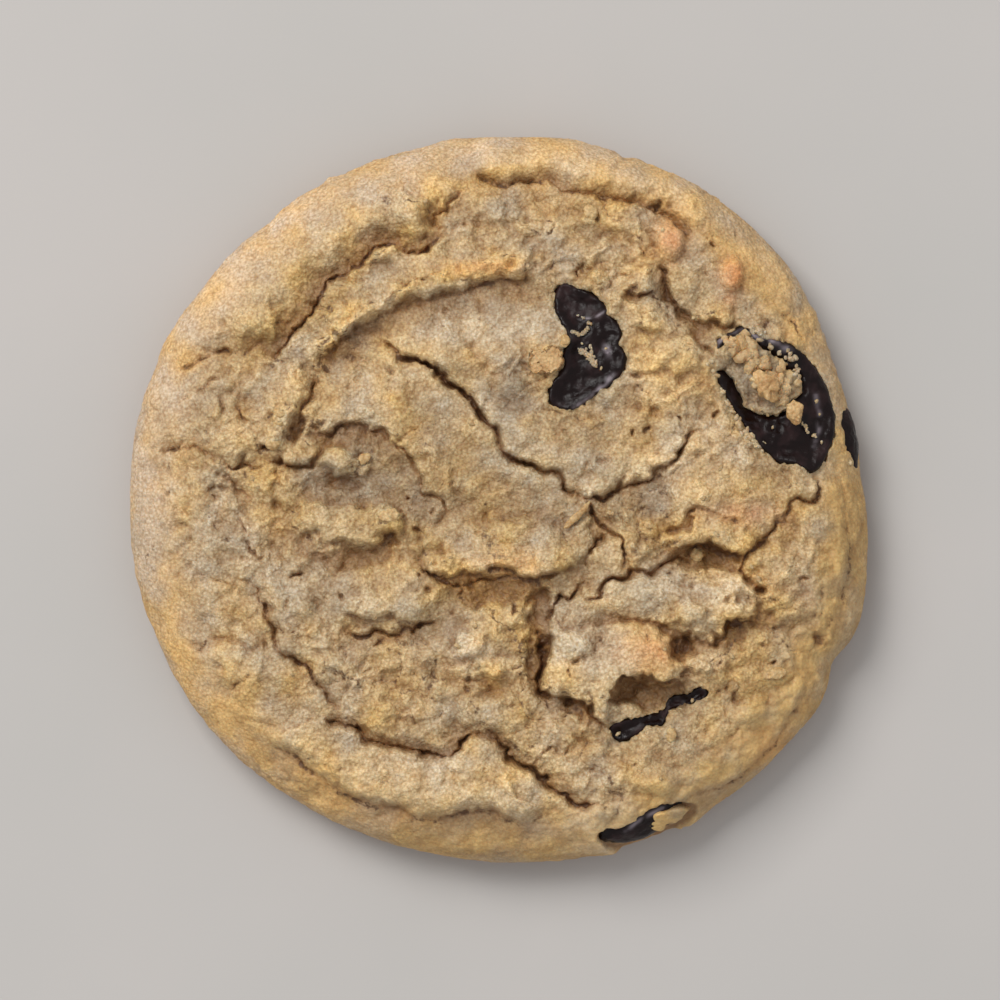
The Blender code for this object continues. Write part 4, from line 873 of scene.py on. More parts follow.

# %% [markdown]
# ## Patches of colour
# A cookie does not brown evenly. Its rim and some folds are golden, ashy grey lies in between,
# and some parts are paler or duskier. Round the rim the golden patches lie on the side away from
# the lamp and the ashy ones on the side toward it, which is partly painted warm shade and cool
# light. The paler and duskier parts are partly painted light on slopes that face the lamp and
# painted shade on those that face away. Two small spots toasted orange, and melted chocolate
# greyed the dough round the chunks; the ring at each chunk's edge is also painted shade. Soft
# ovals, bent a little by noise, place each of these.

# %% Patches of colour: (x, y, half length, half width, turn, strength)
# golden patches: partly golden baking, partly painted warm shade on the rim away from the lamp; the
# ashy patches below are partly painted cool light on the side toward it
GOLDEN_AND_WARM_SHADE = (
    (42, -6, 3.5, 15, 0, 0.45), (36, -24, 13, 5, 57, 0.45), (24, -36, 8, 3, 30, 0.35),
    (30, -25, 7, 5, 40, 0.3), (-26, -33, 13, 3.2, -42, 0.45), (-6, -41.5, 12, 2.6, 0, 0.4),
    (24, -3.2, 6, 1.8, 5, 0.4), (29, 1, 4, 3, 0, 0.2), (33, 24, 9, 3, -50, 0.25),
    (-4, 28, 8, 1.2, 12, 0.45), (-19, 20.5, 4, 1.2, 50, 0.35), (-18, 27.5, 11, 1.8, 40, 0.4),
    (-8.5, 34.5, 1.8, 3, 0, 0.45), (0, 39, 6, 1, 0, 0.4), (14, 37.2, 6, 1, -12, 0.4),
    (-36, 17, 6, 1.5, 30, 0.3), (-30, 5, 7, 2, 0, 0.2), (-14.5, -2.5, 3, 2, 0, 0.3),
    (-19, 5, 2.5, 1.2, 0, 0.3), (2, -7.6, 6, 1.4, 0, 0.3), (6, 16.8, 2, 1.5, 0, 0.5),
    (0, -11, 8, 1.6, 0, 0.4), (4.8, -19, 1.2, 5, 0, 0.4), (27, -6, 6, 1.6, 0, 0.4),
    (31, -14, 4, 2, 0, 0.3), (-24.5, 25, 13, 2.4, 45, 0.35), (-40, -20, 2.5, 9, 25, 0.3))
ASHY_AND_COOL_LIGHT = (
    (-1.5, 21, 8.5, 2.6, 10, 0.5), (-14.5, 26, 5, 2.2, 42, 0.4), (1.5, 12.5, 3.2, 4, 0, 0.45),
    (19.5, 3.2, 2.5, 5, -20, 0.4), (-18.3, 16.5, 3, 4, 0, 0.3), (10.5, -16, 4.6, 4.4, 0, 0.5),
    (18, -11.2, 7, 2.2, 8, 0.4), (26, -11.5, 4, 2, 0, 0.25), (-3.6, -17, 2.6, 4, 0, 0.45),
    (-28.5, -9, 2.4, 8, 25, 0.35), (-34, -2, 3, 9, 0, 0.35), (-42, 4, 3, 16, 0, 0.4),
    (-7.5, -31.8, 6.5, 1.4, -5, 0.45), (-15, 37, 6, 2.6, 25, 0.3), (12.5, 28.5, 4.5, 3, 0, 0.25),
    (8, 6, 6, 3, 0, 0.25), (-22, 3, 3, 2, 0, 0.3), (-14, -12, 5, 3, 0, 0.15), (1, 33, 9, 3, 0, 0.2),
    (-33, 30, 3, 12, -45, 0.2))
# pale patches: partly the dough's own tone, partly painted light on the lit rim and slopes; the dusky
# patches below are partly painted shade on slopes facing away
PALE_AND_LIT = (
    (24, 4, 7, 5, 20, 0.5), (12, -17.5, 6, 5, 0, 0.45), (26, -12, 5, 3, 0, 0.4),
    (-1, 19.8, 8, 2.6, 10, 0.4), (19, 15.5, 4, 5, 0, 0.4), (14.5, 29.5, 4.5, 3.5, 0, 0.4),
    (-18.5, -1.8, 5.5, 1.8, 0, 0.35), (-6, -34, 11, 2.6, -6, 0.4), (-12, 10, 7, 2.5, -40, 0.15),
    (-2.6, -17, 3, 3.6, 0, 0.4), (-18, 21.5, 5, 1.4, 45, 0.3), (13, -36, 5, 2, 0, 0.3),
    (5.5, 16.8, 2, 1.5, 0, 0.4), (-31, 31, 16, 3, 45, 0.3), (-43, 4, 2, 18, 0, 0.3))
DUSKY_AND_SHADED = (
    (-31, 19.5, 6, 1.8, 10, 0.35), (-34, 4.5, 4, 2.6, 0, 0.35), (-27, 5, 4, 2, 0, 0.35),
    (-36, 12, 3, 5, 0, 0.2), (10.5, -8.5, 3.5, 3.5, 0, 0.3), (12.5, -3, 1.6, 3, 0, 0.3),
    (-14, -6.5, 5, 1.5, 0, 0.25), (-16, 1, 9.5, 6.5, 0, 0.7), (0, -10.8, 8, 1.6, 0, 0.4),
    (4.6, -18, 1.3, 6, 0, 0.4), (-14, -12.5, 9, 4, 0, 0.2), (26, -6.2, 6, 1.4, 0, 0.3),
    (30, -15.5, 4, 2, 0, 0.35), (37, -16, 2.5, 4, 0, 0.2), (-2, -24, 6, 1.6, 0, 0.2),
    (16, 12, 3, 2, 0, 0.15), (1.5, 12.3, 1.8, 2.2, 0, 0.3), (16, 25, 2, 1.2, 0, 0.4),
    (22.5, 23.5, 1.8, 3.5, 25, 0.3), (-8, 2.5, 4, 2.5, -40, 0.2), (42, -8, 3, 12, 0, 0.25),
    (-6, -42, 14, 3, 0, 0.2), (2, -3, 7, 3, 10, 0.3), (-6, 4, 9, 5, -42, 0.45),
    (-2, -14, 11, 3, 0, 0.25), (-43, 0, 3, 14, 0, 0.25), (12, 7, 9, 4, 10, 0.15),
    (-22.6, 22.4, 12, 1.2, 45, 0.35))
PATCH_STRAY = ((1.1, 3.0, 66, 67),)  # reach, size and seeds
print(len(GOLDEN_AND_WARM_SHADE), "golden,", len(ASHY_AND_COOL_LIGHT), "ashy,", len(PALE_AND_LIT), "pale and", len(DUSKY_AND_SHADED), "dusky patches")


def patches(xy, table):
    """How deep each spot lies in the soft, uneven patches of one colour."""
    strayed = np.column_stack(bent(*xy.T, PATCH_STRAY))
    share = np.zeros(len(xy))
    for x, y, half_length, half_width, degrees, strength in table:
        away = from_middle(strayed, (x, y), (half_length, half_width), degrees)
        share = np.maximum(share, strength * smoothstep(1.5 - away))
    return share


# %% Smears of chocolate (x, y, radius, depth) and toasted spots (x, y, half sizes, depth)
SMEARS = (
    (1.4, 12, 1.3, 1), (2.2, 13.6, 1.2, 0.6), (0.2, 9.8, 1.9, 0.65), (-5, 15.2, 1.7, 0.55),
    (-1.6, 13.6, 1.8, 0.45), (27.8, -23.2, 1.6, 0.8), (29.3, -21.9, 1.3, 0.5), (12.8, -29.3, 1.3, 0.6),
    (21.4, -36.8, 2.2, 0.7), (17.4, -29.2, 1.6, 0.5), (36.5, 1.5, 2, 0.45), (24.8, 21, 1.3, 0.35),
    (20.5, -26.4, 1.4, 0.6), (12, 8.6, 2.2, 0.5), (25.6, 19, 1.2, 0.6), (-7, 7, 1.6, 0.25))
TOASTED = (
    (20.6, 31.5, 1.5, 2.2, 1.1), (28.1, 27.3, 1.3, 1.8, 1.3), (28, 24.8, 0.9, 1.5, 0.5),
    (18, -18.6, 3, 2, 1), (29.5, -1.6, 4.5, 1.4, 0.5), (6, 16.6, 1.6, 1.2, 0.4),
    (32.5, 13.4, 1.5, 1.2, 0.4), (-2, 28, 5, 0.9, 0.5), (33, -30, 3, 2, 0.3), (1.5, -7.5, 4, 1.6, 0.3))
SMEAR_REACH = {"chocolate_lower": 1.3}  # mm, where it is not 0.9


def smears(xy):
    """Where chocolate greyed the dough, round each chunk and over one just under; the ring also paints
    shade.
    """
    grey = np.zeros(len(xy))
    for name, outline in CHUNKS.items():
        near = near_route(xy, outline, 6.0)
        gap = beside_route(xy[near], outline, closed=True)[0]
        reach = SMEAR_REACH.get(name, 0.9)
        grey[near] = np.maximum(grey[near], 0.8 * np.exp(-np.clip(-gap, 0, None) / reach))
    for x, y, radius, depth in SMEARS:
        away = np.hypot(xy[:, 0] - x, xy[:, 1] - y)
        grey = np.maximum(grey, depth * np.exp(-(away / radius) ** 2))
    mottle = 0.75 + 0.5 * ripple(*xy.T, 0.8, 70)
    return np.clip(grey * mottle, 0.0, 1.0)


def toasting(xy):
    """Spots where the sugar has browned to orange."""
    toast = np.zeros(len(xy))
    for x, y, half_length, half_width, depth in TOASTED:
        away = np.hypot((xy[:, 0] - x) / half_length, (xy[:, 1] - y) / half_width)
        toast = np.maximum(toast, depth * np.exp(-away ** 2))
    return np.clip(toast * (0.9 + 0.3 * ripple(*xy.T, 0.9, 71)), 0.0, 1.0)


print(len(SMEARS), "smears and", len(TOASTED), "toasted spots")

# %% [markdown]
# ## The dough
# An icosphere has even triangles all over, which suits a crust that is equally detailed
# everywhere. Its points are laid out along the cookie's section, from the crown over the rim to
# the foot, moved out along the skin by the crust's height, and thinned where the skin is smooth.

# %% Helpers for meshes
def mesh_from(shape, name):
    """A mesh made from a shape that is drawn, which is then let go."""
    mesh = bpy.data.meshes.new(name)
    shape.to_mesh(mesh)
    shape.free()
    return mesh


def store_masks(mesh, masks):
    """Keeps each mask on the mesh, one value to a point, for the finishes to read."""
    for name, mask in masks.items():
        layer = mesh.attributes.new(name, "FLOAT", "POINT")
        layer.data.foreach_set("value", mask.astype(np.float32))


def thinned(mesh, triangles):
    """A mesh brought down to a number of triangles, fewest where it is smooth."""
    if len(mesh.polygons) <= triangles:
        return mesh
    holder = bpy.data.objects.new("holder", mesh)
    bpy.context.scene.collection.objects.link(holder)
    thinner = holder.modifiers.new("thinner", "DECIMATE")
    thinner.ratio = triangles / len(mesh.polygons)
    bpy.context.view_layer.update()
    graph = bpy.context.evaluated_depsgraph_get()
    made = bpy.data.meshes.new_from_object(holder.evaluated_get(graph))
    bpy.data.objects.remove(holder)
    return made


def add_piece(name, mesh, nodes=()):
    """Puts a finished mesh in the scene as a piece that belongs to the cookie."""
    made = bpy.data.objects.new(name, mesh)
    bpy.context.scene.collection.objects.link(made)
    mesh.shade_smooth()
    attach(made, "root")
    if nodes:
        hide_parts(*nodes)
    print(name, "has", len(mesh.polygons), "faces")
    return made


# %% Building the dough
DOUGH_DETAIL = 9
DOUGH_TRIANGLES = 190000
TOP_SHARE = 0.92  # of the points go on top, the others underneath
TOP_LIMIT = cad_box[1].z / MM - 0.05  # just under the solids' highest point
BOX_EASE = 0.3  # mm over which a bulge is eased back from the box


def held_in_box(spots):
    """Spots of the side eased back where a bulge would leave the cookie's box."""
    low, high = (np.array(corner[:2]) / MM for corner in cad_box)
    over = np.clip(spots - high + BOX_EASE, 0.0, None)
    under = np.clip(low + BOX_EASE - spots, 0.0, None)
    return (spots - over + BOX_EASE * np.tanh(over / BOX_EASE)
            + under - BOX_EASE * np.tanh(under / BOX_EASE))


def build_dough():
    """The dough's points in mm, with the colour masks that go with them."""
    shape = bmesh.new()
    bmesh.ops.create_icosphere(shape, subdivisions=DOUGH_DETAIL, radius=1.0)
    mesh = mesh_from(shape, "dough_crust")
    ball = np.empty(len(mesh.vertices) * 3, np.float32)
    mesh.vertices.foreach_get("co", ball)
    ball = ball.reshape(-1, 3).astype(float)

    area = np.concatenate([[0.0], np.cumsum((PROFILE[1:, 0] + PROFILE[:-1, 0]) * RUN)])
    used = (1.0 - ball[:, 2]) / 2.0
    on_top = used < TOP_SHARE
    spot = np.clip(used / TOP_SHARE, 0.0, 1.0) * area[-1]
    under = FOOT * np.sqrt(np.clip((1.0 - used) / (1.0 - TOP_SHARE), 0.0, 1.0))
    share = np.where(on_top, np.interp(spot, area, PROFILE[:, 0]), under)
    height = np.where(on_top, np.interp(spot, area, PROFILE[:, 1]), 0.0)
    angle = np.arctan2(ball[:, 1], ball[:, 0])
    out = np.column_stack([np.cos(angle), np.sin(angle)])
    xy = out * (share * rim_radius(angle))[:, None]
    unrolled = out * np.interp(spot, area, ARC)[:, None]
    leans = np.arctan2(-np.gradient(PROFILE[:, 1], ARC),
                       np.gradient(PROFILE[:, 0] * MEAN_RADIUS, ARC))
    lean = np.clip(np.where(on_top, np.interp(spot, area, leans), 1.0), 0.0, math.pi / 2)

    fade = smoothstep((height - 0.6 * WAIST_HEIGHT) / 2.5) * on_top
    crumb = crumb_height(xy, unrolled)
    crust = read_map(form_map, xy) * fade + crumb * (0.4 + 0.6 * fade) * on_top
    relief = crust + fine_grain(unrolled) * (1.0 - read_map(pocket_map, xy))
    relief *= smoothstep(height / 1.0) * on_top

    crest = crust - read_map(near_level, xy)
    broad = read_map(bare_form, xy) - read_map(form_level, xy)
    outer = share - 0.8
    masks = {
        # painted shade: hollow and low darken the dough below its blurred height, with some real
        # browning; painted light: crest and high lighten it above, with some golden baking
        "hollow": np.clip(-crest * 2.0 - 0.12, 0.0, 1.0) * fade,
        "crest": np.clip(crest * 3.0, 0.0, 1.0) * fade,
        "low": np.clip(-broad * 1.5 - 0.08, 0.0, 1.0) * fade,
        "high": np.clip(broad * 1.4 - 0.1, 0.0, 1.0) * fade,
        # smear: chocolate grey, with a ring at each chunk's edge that is partly painted shade
        "smear": smears(xy) * fade,
        "toast": toasting(xy) * fade,
        "foot": smoothstep((6.0 - height) / 6.0),
        # painted light: the rim is painted paler, partly all round and most on the side toward the
        # lamp
        "rim": smoothstep(outer / 0.17) * (0.6 + 0.4 * np.cos(angle - 2.3)),
        "grainy": 1.0 - 0.6 * smoothstep(outer / 0.12) * (0.5 - 0.5 * np.cos(angle - 2.3)),
        # painted shade: crack, pore and crease lines are painted dark, standing in for shade down in
        # them, with some real browning
        "line": np.maximum(read_map(crack_shade_map, xy), 0.58 * crease_lines(xy, unrolled)) * fade,
        # warm: golden against ashy, partly the dough's own tone and partly painted warm shade and cool
        # light
        "warm": np.clip(0.5 + patches(xy, GOLDEN_AND_WARM_SHADE) - patches(xy, ASHY_AND_COOL_LIGHT)
                        + 0.42 * swells(*unrolled.T, 3.4, 62, 3), 0.0, 1.0),
        # pale: paler against duskier, partly the dough's own tone and partly painted light and shade
        "pale": np.clip(0.5 + patches(xy, PALE_AND_LIT) - patches(xy, DUSKY_AND_SHADED)
                        + 0.3 * swells(*unrolled.T, 2.6, 64, 2), 0.0, 1.0),
    }
    xy = xy + out * (relief * np.sin(lean) * 0.5)[:, None]
    height = np.minimum(height + relief * np.cos(lean), TOP_LIMIT)
    place = np.column_stack([held_in_box(xy - MIDDLE), np.maximum(height, 0.0)]) * MM
    mesh.vertices.foreach_set("co", place.astype(np.float32).ravel())
    store_masks(mesh, masks)
    mesh.update()
    return mesh


dough = add_piece("dough_crust", thinned(build_dough(), DOUGH_TRIANGLES), ["dough"])

# %% [markdown]
# ## Finishes
# The grain of baked sugar and flour is too fine to model, so shader nodes make it. One group
# gives the sandy grain and one the hair creases between crumbs, for the dough and for its loose
# crumbs alike. The groups only say how high or how dark a spot is, and each finish picks its
# own colours from that. The dough paints its hair creases darker, as painted shade.

# %% Helpers for shader nodes
def rgb(red, green, blue):
    """A colour given as seen on a screen, 0 to 255, in linear light."""
    def linear(value):
        share = value / 255.0
        return share / 12.92 if share <= 0.04045 else ((share + 0.055) / 1.055) ** 2.4
    return (linear(red), linear(green), linear(blue), 1.0)


def put(tree, kind, values=None, **settings):
    """A shader node; values gives its inputs by name or number, as constants or as links."""
    made = tree.nodes.new("ShaderNode" + kind)
    for key, value in settings.items():
        setattr(made, key, value)
    for key, value in (values or {}).items():
        if isinstance(value, bpy.types.NodeSocket):
            tree.links.new(value, made.inputs[key])
        else:
            made.inputs[key].default_value = value
    return made


def math_of(tree, operation, a, b):
    """The result of one sum."""
    return put(tree, "Math", {0: a, 1: b}, operation=operation).outputs[0]


def mixed(tree, share, a, b, blend="MIX"):
    """Two colours blended by a share."""
    return put(tree, "Mix", {0: share, 6: a, 7: b}, data_type="RGBA", blend_type=blend).outputs[2]


def mask_of(tree, name):
    """One of the masks stored on the mesh."""
    return put(tree, "Attribute", attribute_name=name).outputs["Fac"]


def share_of_mask(tree, name, most):
    """A mask, at most this strong."""
    return math_of(tree, "MULTIPLY", mask_of(tree, name), most)


def ramp(tree, value, low, high):
    """A value stretched so that low becomes 0 and high becomes 1."""
    return put(tree, "MapRange", {"Value": value, "From Min": low, "From Max": high}).outputs[0]


def new_material(name, roughness, specular=0.3):
    """A material and its shader, ready for colour and bump."""
    made = bpy.data.materials.new(name)
    made.use_nodes = True
    shader = made.node_tree.nodes["Principled BSDF"]
    shader.inputs["Roughness"].default_value = roughness
    shader.inputs["Specular IOR Level"].default_value = specular
    return made, made.node_tree, shader


def new_group(name, given, results):
    """An empty shader group with its sockets, and the two nodes that hold them."""
    group = bpy.data.node_groups.new(name, "ShaderNodeTree")
    group.interface.new_socket(given, in_out="INPUT", socket_type="NodeSocketFloat")
    for result in results:
        group.interface.new_socket(result, in_out="OUTPUT", socket_type="NodeSocketFloat")
    enter, leave = group.nodes.new("NodeGroupInput"), group.nodes.new("NodeGroupOutput")
    return group, enter.outputs[given], leave.inputs


# %% Sandy grain
def make_grain_group():
    """Shader group of sandy grain: a height for bump, and light and dark specks."""
    group, size, results = new_group("sandy grain", "Grain Size",
                                     ("Height", "Specks", "Ragged", "Mottle"))
    place = put(group, "TexCoord").outputs["Object"]
    fine = math_of(group, "DIVIDE", 1.0, size)
    coarse = math_of(group, "MULTIPLY", fine, 0.16)
    sand = put(group, "TexNoise", {"Vector": place, "Scale": math_of(group, "MULTIPLY", fine, 0.95),
                                   "Detail": 3.0, "Roughness": 0.62}).outputs["Fac"]
    grit_scale = math_of(group, "MULTIPLY", fine, 0.7)
    grit = put(group, "TexVoronoi", {"Vector": place, "Scale": grit_scale}).outputs["Distance"]
    patch = put(group, "TexNoise", {"Vector": place, "Scale": coarse, "Detail": 3.0,
                                    "Roughness": 0.55}).outputs["Fac"]
    ragged = put(group, "TexNoise", {"Vector": place, "Scale": math_of(group, "MULTIPLY", fine, 0.42),
                                     "Detail": 3.0, "Roughness": 0.65}).outputs["Fac"]
    group.links.new(ragged, results["Ragged"])
    lumps = math_of(group, "ADD", math_of(group, "MULTIPLY", sand, 0.4),
                    math_of(group, "MULTIPLY", ragged, 1.3))
    height = math_of(group, "SUBTRACT", lumps, math_of(group, "MULTIPLY", grit, 0.85))
    group.links.new(height, results["Height"])
    specks = math_of(group, "SUBTRACT", sand, math_of(group, "MULTIPLY", grit, 0.38))
    group.links.new(specks, results["Specks"])
    group.links.new(patch, results["Mottle"])
    return group


GRAIN = make_grain_group()
print(GRAIN.name, "has", len(GRAIN.nodes), "nodes")


def grain(tree, size):
    """The sandy grain placed in a material, with its own size in metres."""
    made = put(tree, "Group", node_tree=GRAIN)
    made.inputs["Grain Size"].default_value = size
    return made.outputs


# %% Hair creases
def make_crazing_group():
    """Shader group of hair creases: thin lines between crumbs, in patches."""
    group, size, results = new_group("hair creases", "Crumb Size", ("Lines",))
    place = put(group, "TexCoord").outputs["Object"]
    scale = math_of(group, "DIVIDE", 1.0, size)
    stray = put(group, "TexNoise", {"Vector": place, "Scale": scale, "Detail": 3.0}).outputs[1]
    stray = put(group, "VectorMath", {0: stray, 1: (0.5, 0.5, 0.5)}, operation="SUBTRACT")
    stray = put(group, "VectorMath", {0: stray.outputs[0], "Scale": size}, operation="SCALE")
    moved = put(group, "VectorMath", {0: place, 1: stray.outputs[0]}, operation="ADD").outputs[0]
    cells = put(group, "TexVoronoi", {"Vector": moved, "Scale": scale}, feature="DISTANCE_TO_EDGE")
    line = put(group, "MapRange", {"Value": cells.outputs["Distance"], "From Min": 0.0,
                                   "From Max": 0.07, "To Min": 1.0, "To Max": 0.0}).outputs[0]
    patch = put(group, "TexNoise", {"Vector": place, "Scale": math_of(group, "MULTIPLY", scale, 0.4),
                                    "Detail": 2.0}).outputs["Fac"]
    patch = put(group, "MapRange", {"Value": patch, "From Min": 0.5, "From Max": 0.7}).outputs[0]
    group.links.new(math_of(group, "MULTIPLY", line, patch), results["Lines"])
    return group


CRAZING = make_crazing_group()
print(CRAZING.name, "has", len(CRAZING.nodes), "nodes")


def creases(tree, size):
    """The hair creases placed in a material, for one size of crumb in metres."""
    made = put(tree, "Group", node_tree=CRAZING)
    made.inputs["Crumb Size"].default_value = size
    return made.outputs["Lines"]


# %% [markdown]
# ## Baked dough
# Baked dough is a pale sandy tan, golden on the crests, brown in the hollows and dark down in
# the cracks. Its colour is built in layers, each of them strong where one of the stored masks
# is strong. A little light goes under the surface, as in all bread. Painting all this by hand
# could not be repeated, and masks follow the shape by themselves.

# %% The dough's finish
# the gold lightens crests as painted light, and the brown, umber and crack colours darken hollows,
# creases and cracks as painted shade, each with some real browning
TAN, GOLD_HIGHLIGHT, CREAM = rgb(178, 146, 102), rgb(234, 206, 156), rgb(209, 183, 141)
BROWN_SHADE, UMBER_SHADE, CRACK_SHADE = rgb(144, 106, 64), rgb(110, 72, 30), rgb(76, 44, 12)
GREY, ORANGE, RIM_PAINTED_LIGHT = rgb(120, 108, 92), rgb(222, 150, 90), rgb(229, 195, 150)
FOOT_BROWN, SHADED, UNSHADED = rgb(206, 150, 86), rgb(206, 190, 170), rgb(255, 255, 255)
ASHY_TINT, GOLDEN_TINT = (0.89, 1.0, 1.28, 1.0), (1.065, 0.99, 0.71, 1.0)
DUSKY_TONE, PALE_TONE = (0.80, 0.80, 0.80, 1.0), (1.18, 1.18, 1.18, 1.0)
GRAIN_SIZE, CREASE_SIZE = 0.00032, 0.0014  # in metres
# crest and high paint light on raised spots, low paints shade in hollows, rim paints light on the side
# toward the lamp
UNDER_LAYERS = (("crest", 0.5, GOLD_HIGHLIGHT), ("high", 0.5, GOLD_HIGHLIGHT), ("low", 0.75, BROWN_SHADE),
                ("rim", 0.85, RIM_PAINTED_LIGHT))  # mask, how strong at most, colour
OVER_LAYERS = (("toast", 0.85, ORANGE), ("foot", 0.7, FOOT_BROWN), ("smear", 0.75, GREY))


def make_dough_finish():
    """Pale sandy dough, golden on its crests and brown in its hollows."""
    made, tree, shader = new_material("baked dough", 0.6, 0.55)
    sand = grain(tree, GRAIN_SIZE)
    grainy = mask_of(tree, "grainy")
    mottle = ramp(tree, sand["Mottle"], 0.35, 0.65)
    colour = mixed(tree, mottle, TAN, CREAM)
    for mask, most, layer in UNDER_LAYERS:
        colour = mixed(tree, share_of_mask(tree, mask, most), colour, layer)
    for mask, least, most in (("warm", ASHY_TINT, GOLDEN_TINT), ("pale", DUSKY_TONE, PALE_TONE)):
        tint = mixed(tree, mask_of(tree, mask), least, most)
        colour = mixed(tree, 1.0, colour, tint, "MULTIPLY")
    for mask, most, layer in OVER_LAYERS:
        colour = mixed(tree, share_of_mask(tree, mask, most), colour, layer)
    specks = math_of(tree, "SUBTRACT", ramp(tree, sand["Specks"], 0.12, 0.5), 0.5)
    specks = math_of(tree, "MULTIPLY", specks, grainy)
    shade = mixed(tree, math_of(tree, "ADD", specks, 0.5), SHADED, UNSHADED)
    colour = mixed(tree, 1.0, colour, shade, "MULTIPLY")
    stray = math_of(tree, "MULTIPLY", math_of(tree, "SUBTRACT", sand["Ragged"], 0.5), 1.7)
    hollow = math_of(tree, "SUBTRACT", mask_of(tree, "hollow"), stray)
    line = math_of(tree, "SUBTRACT", mask_of(tree, "line"), stray)
    # painted shade: the dough is darkened in its hollows, along its crack lines and in its hair
    # creases
    for dark, most, layer in ((ramp(tree, hollow, 0.1, 0.9), 0.6, UMBER_SHADE),
                              (ramp(tree, line, 0.42, 0.72), 0.85, CRACK_SHADE),
                              (creases(tree, CREASE_SIZE), 0.3, UMBER_SHADE)):
        colour = mixed(tree, math_of(tree, "MULTIPLY", dark, most), colour, layer)
    tree.links.new(colour, shader.inputs["Base Color"])
    shader.subsurface_method = "BURLEY"
    shader.inputs["Subsurface Weight"].default_value = 0.5
    shader.inputs["Subsurface Radius"].default_value = (1.0, 0.5, 0.2)
    shader.inputs["Subsurface Scale"].default_value = 0.0006
    height = math_of(tree, "MULTIPLY", math_of(tree, "SUBTRACT", sand["Height"], 0.5), grainy)
    bump = put(tree, "Bump", {"Height": height, "Strength": 0.6, "Distance": 0.0003})
    tree.links.new(bump.outputs[0], shader.inputs["Normal"])
    return made


DOUGH_FINISH = make_dough_finish()
dough.data.materials.append(DOUGH_FINISH)
print(DOUGH_FINISH.name, "has", len(DOUGH_FINISH.node_tree.nodes), "nodes")

# %% [markdown]
# ## Dark chocolate
# Chocolate that has melted and set is nearly black, half glossy and finely wrinkled, with a
# dull bloom here and there. The open chunks are slabs cut from a fine grid: faces outside the
# outline go, the rest is pushed down into a body, and the top follows the crust a little below
# the dough's edge.

# %% Open chunks
CHUNK_SINK = {"chocolate_upper": 0.25, "chocolate_right": 0.2, "chocolate_lower": 0.75}
CHUNK_GRID, CHUNK_BODY = 0.16, 2.4  # mm between a slab's points, and how deep it reaches


def base_height(xy):
    """Height of the crust without its fine detail or the chunks' pockets."""
    level = read_map(near_level, xy) + POCKET_DEPTH * read_map(near_pocket, xy)
    return dome_height(share_of(xy)) + level


# pale streaks on the chocolate: partly bloom, partly painted highlight where edges face the lamp
BLOOM_AND_HIGHLIGHT = (  # half width, strength, route of a pale streak on the chocolate
    (0.3, 0.9, ((9.2, 11.2), (10.6, 12), (12, 13.3), (13.5, 15))),
    (0.14, 0.6, ((10, 21.9), (11.4, 22.1), (12.8, 22.9))),
    (0.4, 0.9, ((12.8, 18.6), (13.1, 17.6))),
    (0.45, 0.6, ((25.9, 17.8), (27, 19.6), (29.6, 20.2), (32.5, 19.5), (35, 18.2))),
    (0.3, 0.4, ((38.3, 13), (38.8, 9.6), (38.2, 6.8))),
    (0.25, 0.5, ((15.4, -40), (17.4, -38.6), (20, -37.2))),
)


def bloom_and_highlight_of(xy):
    """How pale each spot of the chocolate is painted: partly bloom, partly painted highlight on edges.
    """
    pale = np.zeros(len(xy))
    for half_width, strength, route in BLOOM_AND_HIGHLIGHT:
        near = near_route(xy, route, 2.0)
        if near.any():
            gap, along, total = beside_route(xy[near], route)
            ends = tapered(along, total, 0.8, 0.3)
            uneven = np.clip(0.7 + 0.9 * ripple(*xy[near].T, 0.7, 88), 0.0, 1.3)
            pale[near] += strength * uneven * ends * np.exp(-(gap / half_width) ** 2)
    return np.clip(pale, 0.0, 1.0)


def build_chunk(name, outline):
    """A slab of chocolate with a wrinkled top, deep enough to reach under the dough round it."""
    low, high = np.min(outline, 0) - 0.6, np.max(outline, 0) + 0.6
    middle, size = (low + high) / 2.0, high - low
    shape = bmesh.new()
    bmesh.ops.create_grid(shape, x_segments=int(size[0] / CHUNK_GRID),
                          y_segments=int(size[1] / CHUNK_GRID), size=0.5)
    bmesh.ops.scale(shape, vec=(size[0], size[1], 1.0), verts=shape.verts)
    bmesh.ops.translate(shape, vec=(*middle, 0.0), verts=shape.verts)
    centres = np.array([face.calc_center_median()[:2] for face in shape.faces])
    kept = beside_route(centres, outline, closed=True)[0] > -0.45
    spare = [face for face, keep in zip(list(shape.faces), kept) if not keep]
    bmesh.ops.delete(shape, geom=spare, context="FACES")
    xy = np.array([v.co[:2] for v in shape.verts])
    gap = beside_route(xy, outline, closed=True)[0]
    x, y = xy.T
    top = base_height(xy) - CHUNK_SINK[name] + 0.5 * (1.0 - smoothstep(gap / 1.5))
    top -= 0.8 * smoothstep(-gap / 0.5) + 0.9 * inside(xy, TONGUE, 1.2)
    top += 0.22 * swells(x, y, 1.9, 80, 3) - 0.2 * np.abs(ripple(x, y, 1.1, 85))
    for vertex, height in zip(shape.verts, top):
        vertex.co.z = height
    grown = bmesh.ops.extrude_face_region(shape, geom=shape.faces[:])["geom"]
    lower = [v for v in grown if isinstance(v, bmesh.types.BMVert)]
    bmesh.ops.translate(shape, vec=(0.0, 0.0, -CHUNK_BODY), verts=lower)
    bmesh.ops.translate(shape, vec=(-MIDDLE[0], -MIDDLE[1], 0.0), verts=shape.verts)
    bmesh.ops.scale(shape, vec=(MM, MM, MM), verts=shape.verts)
    bmesh.ops.recalc_face_normals(shape, faces=shape.faces)
    mesh = mesh_from(shape, name + "_slab")
    place = np.array([v.co[:2] for v in mesh.vertices]) / MM + MIDDLE
    store_masks(mesh, {"bloom": bloom_and_highlight_of(place)})
    return mesh


